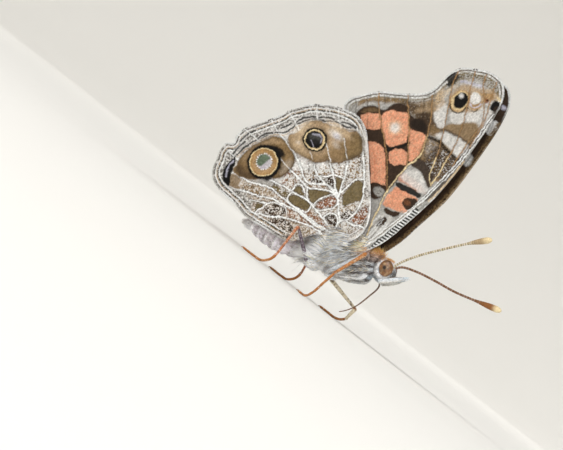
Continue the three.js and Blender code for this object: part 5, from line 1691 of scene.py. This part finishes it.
class BUTTERFLY_OT_mouth(bpy.types.Operator):
    """Add the proboscis and both palps"""

    bl_idname = "butterfly.mouth"
    bl_label = "Proboscis and Palps"

    def execute(self, context):
        sizes, colours = context.scene.butterfly_body_sizes, context.scene.butterfly_body_colours
        route = smooth_route(TONGUE, 0.06)
        share = np.linspace(0, 1, len(route))
        radii = (0.15 - 0.07 * share) * (1 - 0.1 * (np.arange(len(route)) % 2)) * np.sqrt(
            np.clip((1 - share) / 0.02, 0.1, 1))
        shape = swept(bmesh.new(), route, radii, 12, 0.8)

        def horn(points, along):
            light = ease(np.abs(points[:, 1]), 0.05, 0.0)
            return layered(points, linear(colours.umber) * 1.3,
                (colours.amber, 0.5 * light + 0.3 * along, 0.6))

        finish = Finish("ringed_horn", {"Roughness": 0.38, "Specular IOR Level": 0.45})
        finish.feed(Base_Color=finish.shaded(finish.painted(), 0.8 + 0.4 * finish.noise(0.0002)),
                    Normal=finish.bump(finish.noise(0.00006), 0.00001))
        finished(shape, "proboscis_ringed", horn, finish.material, "tongue", "proboscis")

        skin = scaled_finish("palp_skin", 0.00009, 0.00002, 0.7)
        for name, side in SIDES.items():
            route = limb_route("palp", name, 0.08)
            share = np.linspace(0, 1, len(route))
            radii = np.interp(share, [0, 0.05, 0.2, 0.45, 0.7, 0.9, 1],
                              [0.2, 0.32, 0.4, 0.34, 0.23, 0.12, 0.04])
            shape = swept(bmesh.new(), route, radii, 14)
            piece = finished(shape, f"palp_{name}_skin", lambda points,
                along: self.palp_shade(points, colours), skin, "palp_scales", f"palp_{name}")

            def brush(roots, normals):
                below = ease(normals[:, 2] - normals[:, 0], 0.0, -0.9) * ease(roots[:, 0], 8.4, 7.4)
                return 0.2 + 0.2 * below, (0.34 + 0.1 * below) * ease(roots[:, 0], 9.6, 8.0), 0.07

            limb_coat(piece, f"palp_{name}_hair", "palp_scales", sizes.limb_hairs * 2, 11 + side,
                (0.75, 0, 0.66), lambda points: self.palp_shade(points, colours), brush)
        return {"FINISHED"}

    def palp_shade(self, points, colours):
        """Snow white with a sky blue shade, a cream edge below and an olive one above."""
        axis = np.interp(points[:, 0], [6.1, 7.1, 8.05, 8.95], [7.2, 7.95, 8.85, 9.8])
        top = (points[:, 2] - axis) / 0.35
        return layered(points, linear(colours.snow),
                       (colours.sky, ease(patches(points * (0.6, 1, 0.6), 0.3, 6), 0.45, 0.8) * 0.8),
                       (colours.olive, ease(top, 0.75, 1.0) * 0.8),
                       (colours.cream, ease(top, -0.6, -0.95) * 0.5))


class BUTTERFLY_OT_legs(bpy.types.Operator):
    """Add the standing legs and the folded forelegs"""

    bl_idname = "butterfly.legs"
    bl_label = "Legs"

    def execute(self, context):
        sizes, colours = context.scene.butterfly_body_sizes, context.scene.butterfly_body_colours
        self.material = scaled_finish("leg_scales", 0.00007, 0.000012, 0.55)
        for name in SIDES:
            for pair in ("hind", "mid"):
                self.femur(pair, name, sizes, colours)
                self.tibia(pair, name, sizes, colours)
                self.tarsus(pair, name, sizes, colours)
            self.foreleg(name, sizes, colours)
        return {"FINISHED"}

    def femur(self, pair, name, sizes, colours):
        route = limb_route(f"{pair}_femur", name, 0.06)
        share = np.linspace(0, 1, len(route))
        radii = rounded(route, sizes.femur_width / MILLIMETRE / 2 * np.interp(
            share, [0, 0.1, 0.5, 0.93, 1], [1, 1.2, 1.05, 0.85, 0.9]))
        shape = swept(bmesh.new(), route, radii, 14)
        self.spines(shape, route, radii, 0.5, 10, 0.16, seed=3)

        def shade(points, along=None):
            way = route[-1] - route[0]
            along = (points - route[0]) @ way / (way @ way)
            ground, streak, much = ((colours.mauve, colours.snow, 0.25) if pair == "hind"
                                    else (colours.silver, colours.slate, 0.6) if name == "right"
                                    else (colours.cream, colours.umber, 0.9))
            # Ground colours at 0.72: the thigh's own tone, partly painted shade.
            return layered(points, linear(ground) * 0.72,
                           (streak, ease(patches(points, 0.2, 5), 0.5, 0.8) * much),
                           (colours.amber, ease(along, 0.9, 1.0) * 0.8))

        node = f"{pair}_femur_{name}"
        piece = finished(shape, f"{node}_scaled", shade, self.material, "femur", node)
        reach, width = (0.5, 0.07) if (pair, name) == ("mid", "right") else (0.2, 0.05)
        limb_coat(piece, f"{node}_hair", "femur", sizes.limb_hairs // 2, 19, route[-1] - route[0], shade,
                  lambda roots, normals: (0.25, reach, width))

    def tibia(self, pair, name, sizes, colours):
        route = limb_route(f"{pair}_tibia", name, 0.06)
        share = np.linspace(0, 1, len(route))
        slender = 0.72 if pair == "hind" else 1.0
        radii = rounded(route, sizes.tibia_width / MILLIMETRE / 2 * slender * np.interp(
            share, [0, 0.06, 0.3, 0.92, 1], [1.0, 1.15, 1.0, 0.82, 0.75]))
        shape = swept(bmesh.new(), route, radii, 14)
        self.spines(shape, route, radii, 0.35, 26, 0.2, seed=5)
        end = Vector(route[-5])
        along = (Vector(route[-1]) - Vector(route[-12])).normalized()
        across = along.orthogonal().normalized()
        for turn in (0.4, 2.4):
            out = Quaternion(along, turn) @ across
            spur = [end + out * 0.1, end + out * 0.22 + along * 0.25, end + out * 0.28 + along * 0.55]
            swept(shape, spur, [0.05, 0.035, 0.006], 6)

        def shade(points, along):
            middle = np.interp(points[:, 2], route[::-1, 2], np.abs(route[::-1, 1]))
            inner = (middle - np.abs(points[:, 1])) / 0.2
            return layered(points, linear(colours.rose if pair == "hind" else colours.amber),
                           (colours.cream, ease(inner, -0.1, 0.4) * (pair == "mid")),
                           (colours.cream, ease(patches(points, 0.14, 5), 0.5, 0.8) * 0.4),
                           (colours.umber, ease(patches(points, 0.16, 9), 0.55, 0.85) * 0.6))

        finished(shape, f"{pair}_tibia_{name}_scaled", shade, self.material, "leg", f"{pair}_tibia_{name}")

    def tarsus(self, pair, name, sizes, colours):
        route = limb_route(f"{pair}_tarsus", name, 0.06)
        share = np.linspace(0, 1, len(route))
        joints = [0.42, 0.6, 0.74, 0.87]
        pinch = sum(0.24 * np.exp(-((share - joint) / 0.012) ** 2) for joint in joints)
        radii = rounded(route, sizes.tarsus_width / MILLIMETRE / 2 * (1 - pinch) * np.interp(
            share, [0, 0.9, 1], [1.05, 0.95, 0.7]))
        shape = swept(bmesh.new(), route, radii, 12)
        self.spines(shape, route, radii, 0.25, 30, 0.16, seed=7)
        tip, way = Vector(route[-2]), (Vector(route[-1]) - Vector(route[-6])).normalized()
        way.z = 0
        across = way.cross(Vector((0, 0, 1))).normalized()
        for sign in (1, -1):
            out = across * sign * 0.07
            claw = [tip + out * 0.5, tip + out + way * 0.12 + Vector((0, 0, 0.02)),
                tip + out * 1.5 + way * 0.2 - Vector((0, 0, 0.05)),
                tip + out * 1.7 + way * 0.2 - Vector((0, 0, 0.13))]
            swept(shape, claw, [0.045, 0.04, 0.025, 0.005], 6)

        def shade(points, along):
            near_joint = sum(np.exp(-((along - joint) / 0.02) ** 2) for joint in joints)
            return layered(points, linear(colours.amber) * 0.9,
                           (colours.umber, np.clip(near_joint, 0, 1) * 0.5),
                           (colours.cream, ease(patches(points, 0.2, 5), 0.6, 0.9) * 0.4),
                           (colours.umber, ease(along, 0.95, 1.0) * 0.7))

        finished(shape, f"{pair}_tarsus_{name}_scaled", shade, self.material, "leg",
            f"{pair}_tarsus_{name}")

    def spines(self, shape, route, radii, start, count, size, seed):
        """Short stiff spines in rough rows, pointing towards the foot."""
        draw = random.Random(seed)
        for i in range(count):
            share = start + (0.97 - start) * (i + draw.random()) / count
            at = min(len(route) - 3, max(1, round(len(route) * share)))
            way = Vector(route[at + 1] - route[at - 1]).normalized()
            out = Quaternion(way,
                math.tau * (i % 4) / 4 + draw.uniform(-0.3, 0.3)) @ way.orthogonal().normalized()
            root = Vector(route[at]) + out * radii[at] * 0.8
            tip = root + (out * 0.55 + way * 0.85) * size * draw.uniform(0.7, 1.1)
            if tip.z < 0.03:
                continue
            swept(shape, [root, root.lerp(tip, 0.5), tip], [0.022, 0.016, 0.003], 4)

    def foreleg(self, name, sizes, colours):
        route = limb_route("foreleg", name, 0.1)
        share = np.linspace(0, 1, len(route))
        radii = np.interp(share, [0, 0.1, 0.4, 0.8, 1], [0.18, 0.25, 0.22, 0.17, 0.06])
        shape = swept(bmesh.new(), route, radii, 14)

        def shade(points):
            middle = np.interp(points[:, 0], [1.9, 3.1, 4.3, 4.6], [4.6, 5.3, 6.1, 6.9])
            line = np.abs(points[:, 2] - middle - 0.05)
            return layered(points, linear(colours.snow),
                           (colours.umber, ease(line, 0.12, 0.04) * 0.7),
                           (colours.cream, ease(patches(points, 0.3, 4), 0.5, 0.9) * 0.5))

        piece = finished(shape, f"foreleg_{name}_skin", lambda points, along: shade(points), self.material,
                         "palp_scales", f"foreleg_{name}")
        limb_coat(piece, f"foreleg_{name}_hair", "palp_scales", sizes.limb_hairs, 17 + SIDES[name],
                  (-0.85, 0, -0.5), shade, lambda roots, normals: (0.3, 0.4, 0.05))


# Studio

class StudioSizes(bpy.types.PropertyGroup):
    """Floor, lights and camera."""

    floor_radius: length("Floor Radius", "Flat part of the floor", 1.1, 2)
    wall_height: length("Wall Height", "Upturned edge of the floor", 0.9, 2)
    floor_colour: tint("Floor Colour", "Pale matt floor", 240, 238, 233)
    distance: length("Camera Distance", "From the camera to the middle of the picture", 0.6, 3)
    aim: FloatVectorProperty(name="Aim", description="Middle of the picture", size=3, subtype="TRANSLATION",
                             unit="LENGTH", default=(-0.0084, 0.0, 0.00525), precision=5)
    azimuth: FloatProperty(name="Azimuth", description="Turn of the camera towards the head",
        subtype="ANGLE", unit="ROTATION", default=math.radians(17))
    roll: FloatProperty(name="Roll", description="Tilt of the camera about its view", subtype="ANGLE",
                        unit="ROTATION", default=math.radians(38))
    lens: FloatProperty(name="Lens", description="Focal length in millimetres", default=306.9, min=1)
    key: FloatProperty(name="Key Light", description="Strength of the large soft light", default=11.5,
        min=0, unit="POWER")
    fill: FloatProperty(name="Fill Light", description="Strength of the light on the shadow side",
        default=5.0, min=0, unit="POWER")
    sky: FloatProperty(name="Sky", description="Strength of the light from all round", default=0.29, min=0)


class BUTTERFLY_OT_studio(bpy.types.Operator):
    """Add the floor, the lights and the camera"""

    bl_idname = "butterfly.studio"
    bl_label = "Studio"

    def execute(self, context):
        scene, sizes = context.scene, context.scene.butterfly_studio
        scene.view_settings.view_transform = "Standard"
        self.add_floor(sizes)
        world = bpy.data.worlds.new("studio_sky")
        world.use_nodes = True
        world.node_tree.nodes["Background"].inputs["Color"].default_value = (1.0, 0.99, 0.97, 1)
        world.node_tree.nodes["Background"].inputs["Strength"].default_value = sizes.sky
        scene.world = world
        self.add_light("key", sizes.key, 0.6, (-0.45, -1.0, 1.05))
        self.add_light("fill", sizes.fill, 0.7, (0.45, -1.1, 0.3))
        self.add_light("back", sizes.fill, 0.8, (0.1, 1.0, 0.7))
        camera = bpy.data.cameras.new("camera")
        camera.sensor_width = 36
        camera.lens = sizes.lens
        camera.clip_start, camera.clip_end = 0.01, 20
        seat = bpy.data.objects.new("camera", camera)
        back = Vector((math.sin(sizes.azimuth), -math.cos(sizes.azimuth), 0))
        level = Vector((math.cos(sizes.azimuth), math.sin(sizes.azimuth), 0))
        right = level * math.cos(sizes.roll) + Vector((0, 0, 1)) * math.sin(sizes.roll)
        seat.matrix_world = Matrix.Translation(Vector(sizes.aim) + back * sizes.distance) @ Matrix(
            (right, back.cross(right), back)).transposed().to_4x4()
        context.collection.objects.link(seat)
        scene.camera = seat
        return {"FINISHED"}

    def add_floor(self, sizes):
        shape = bmesh.new()
        corner = sizes.wall_height * 0.4
        outline = [(0, 0), (sizes.floor_radius, 0)]
        outline += [(sizes.floor_radius + corner * math.sin(t), corner * (1 - math.cos(t)))
                    for t in (math.pi / 2 * i / 8 for i in range(1, 9))]
        outline.append((sizes.floor_radius + corner, sizes.wall_height))
        points = [shape.verts.new((x, 0, z)) for x, z in outline]
        edges = [shape.edges.new(pair) for pair in zip(points, points[1:])]
        bmesh.ops.spin(shape, geom=points + edges, cent=(0, 0, 0), axis=(0, 0, 1), angle=math.tau, steps=64,
                       use_merge=True)
        bmesh.ops.remove_doubles(shape, verts=shape.verts, dist=1e-6)
        bmesh.ops.recalc_face_normals(shape, faces=shape.faces)
        if max(shape.faces, key=lambda face: face.calc_center_median().length * -1).normal.z < 0:
            bmesh.ops.reverse_faces(shape, faces=shape.faces)
        mesh = bpy.data.meshes.new("floor")
        shape.to_mesh(mesh)
        shape.free()
        mesh.shade_smooth()
        finish = Finish("matt_floor", {"Roughness": 0.9, "Specular IOR Level": 0.1})
        base = linear(sizes.floor_colour)
        finish.feed(Base_Color=finish.mix(finish.noise(0.06, 3.0), tuple(base * 0.985), tuple(base)))
        mesh.materials.append(finish.material)
        floor = bpy.data.objects.new("floor", mesh)
        bpy.context.collection.objects.link(floor)

    def add_light(self, name, strength, size, at):
        lamp = bpy.data.lights.new(name, "AREA")
        lamp.shape = "DISK"
        lamp.size = size
        lamp.energy = strength
        seat = bpy.data.objects.new(name, lamp)
        seat.location = at
        seat.rotation_euler = (Vector((-0.004, 0, 0.014)) - Vector(at)).to_track_quat("-Z", "Y").to_euler()
        bpy.context.collection.objects.link(seat)


# Add-on

GROUPS = {
    "butterfly_wing_sizes": WingSizes,
    "butterfly_wing_colours": WingColours,
    "butterfly_body_sizes": BodySizes,
    "butterfly_body_colours": BodyColours,
    "butterfly_studio": StudioSizes,
}
OPERATORS = (
    BUTTERFLY_OT_studio,
    BUTTERFLY_OT_forewings,
    BUTTERFLY_OT_hindwings,
    BUTTERFLY_OT_body,
    BUTTERFLY_OT_eyes,
    BUTTERFLY_OT_antennae,
    BUTTERFLY_OT_mouth,
    BUTTERFLY_OT_legs,
)


class BUTTERFLY_PT_pieces(bpy.types.Panel):
    """Lists the pieces and their sizes"""

    bl_idname = "BUTTERFLY_PT_pieces"
    bl_label = "Butterfly"
    bl_space_type = "VIEW_3D"
    bl_region_type = "UI"
    bl_category = "Butterfly"

    def draw(self, context):
        for operator in OPERATORS:
            self.layout.operator(operator.bl_idname)
        for name, group in GROUPS.items():
            box = self.layout.box()
            box.label(text=group.__doc__)
            for size in group.__annotations__:
                box.prop(getattr(context.scene, name), size)


def register():
    for made in (*GROUPS.values(), *OPERATORS, BUTTERFLY_PT_pieces):
        bpy.utils.register_class(made)
    for name, group in GROUPS.items():
        setattr(bpy.types.Scene, name, PointerProperty(type=group))


def unregister():
    for name in GROUPS:
        delattr(bpy.types.Scene, name)
    for made in (BUTTERFLY_PT_pieces, *OPERATORS, *GROUPS.values()):
        bpy.utils.unregister_class(made)


def main():
    register()
    for operator in OPERATORS:
        family, name = operator.bl_idname.split(".")
        getattr(getattr(bpy.ops, family), name)()


if __name__ == "__main__":
    main()
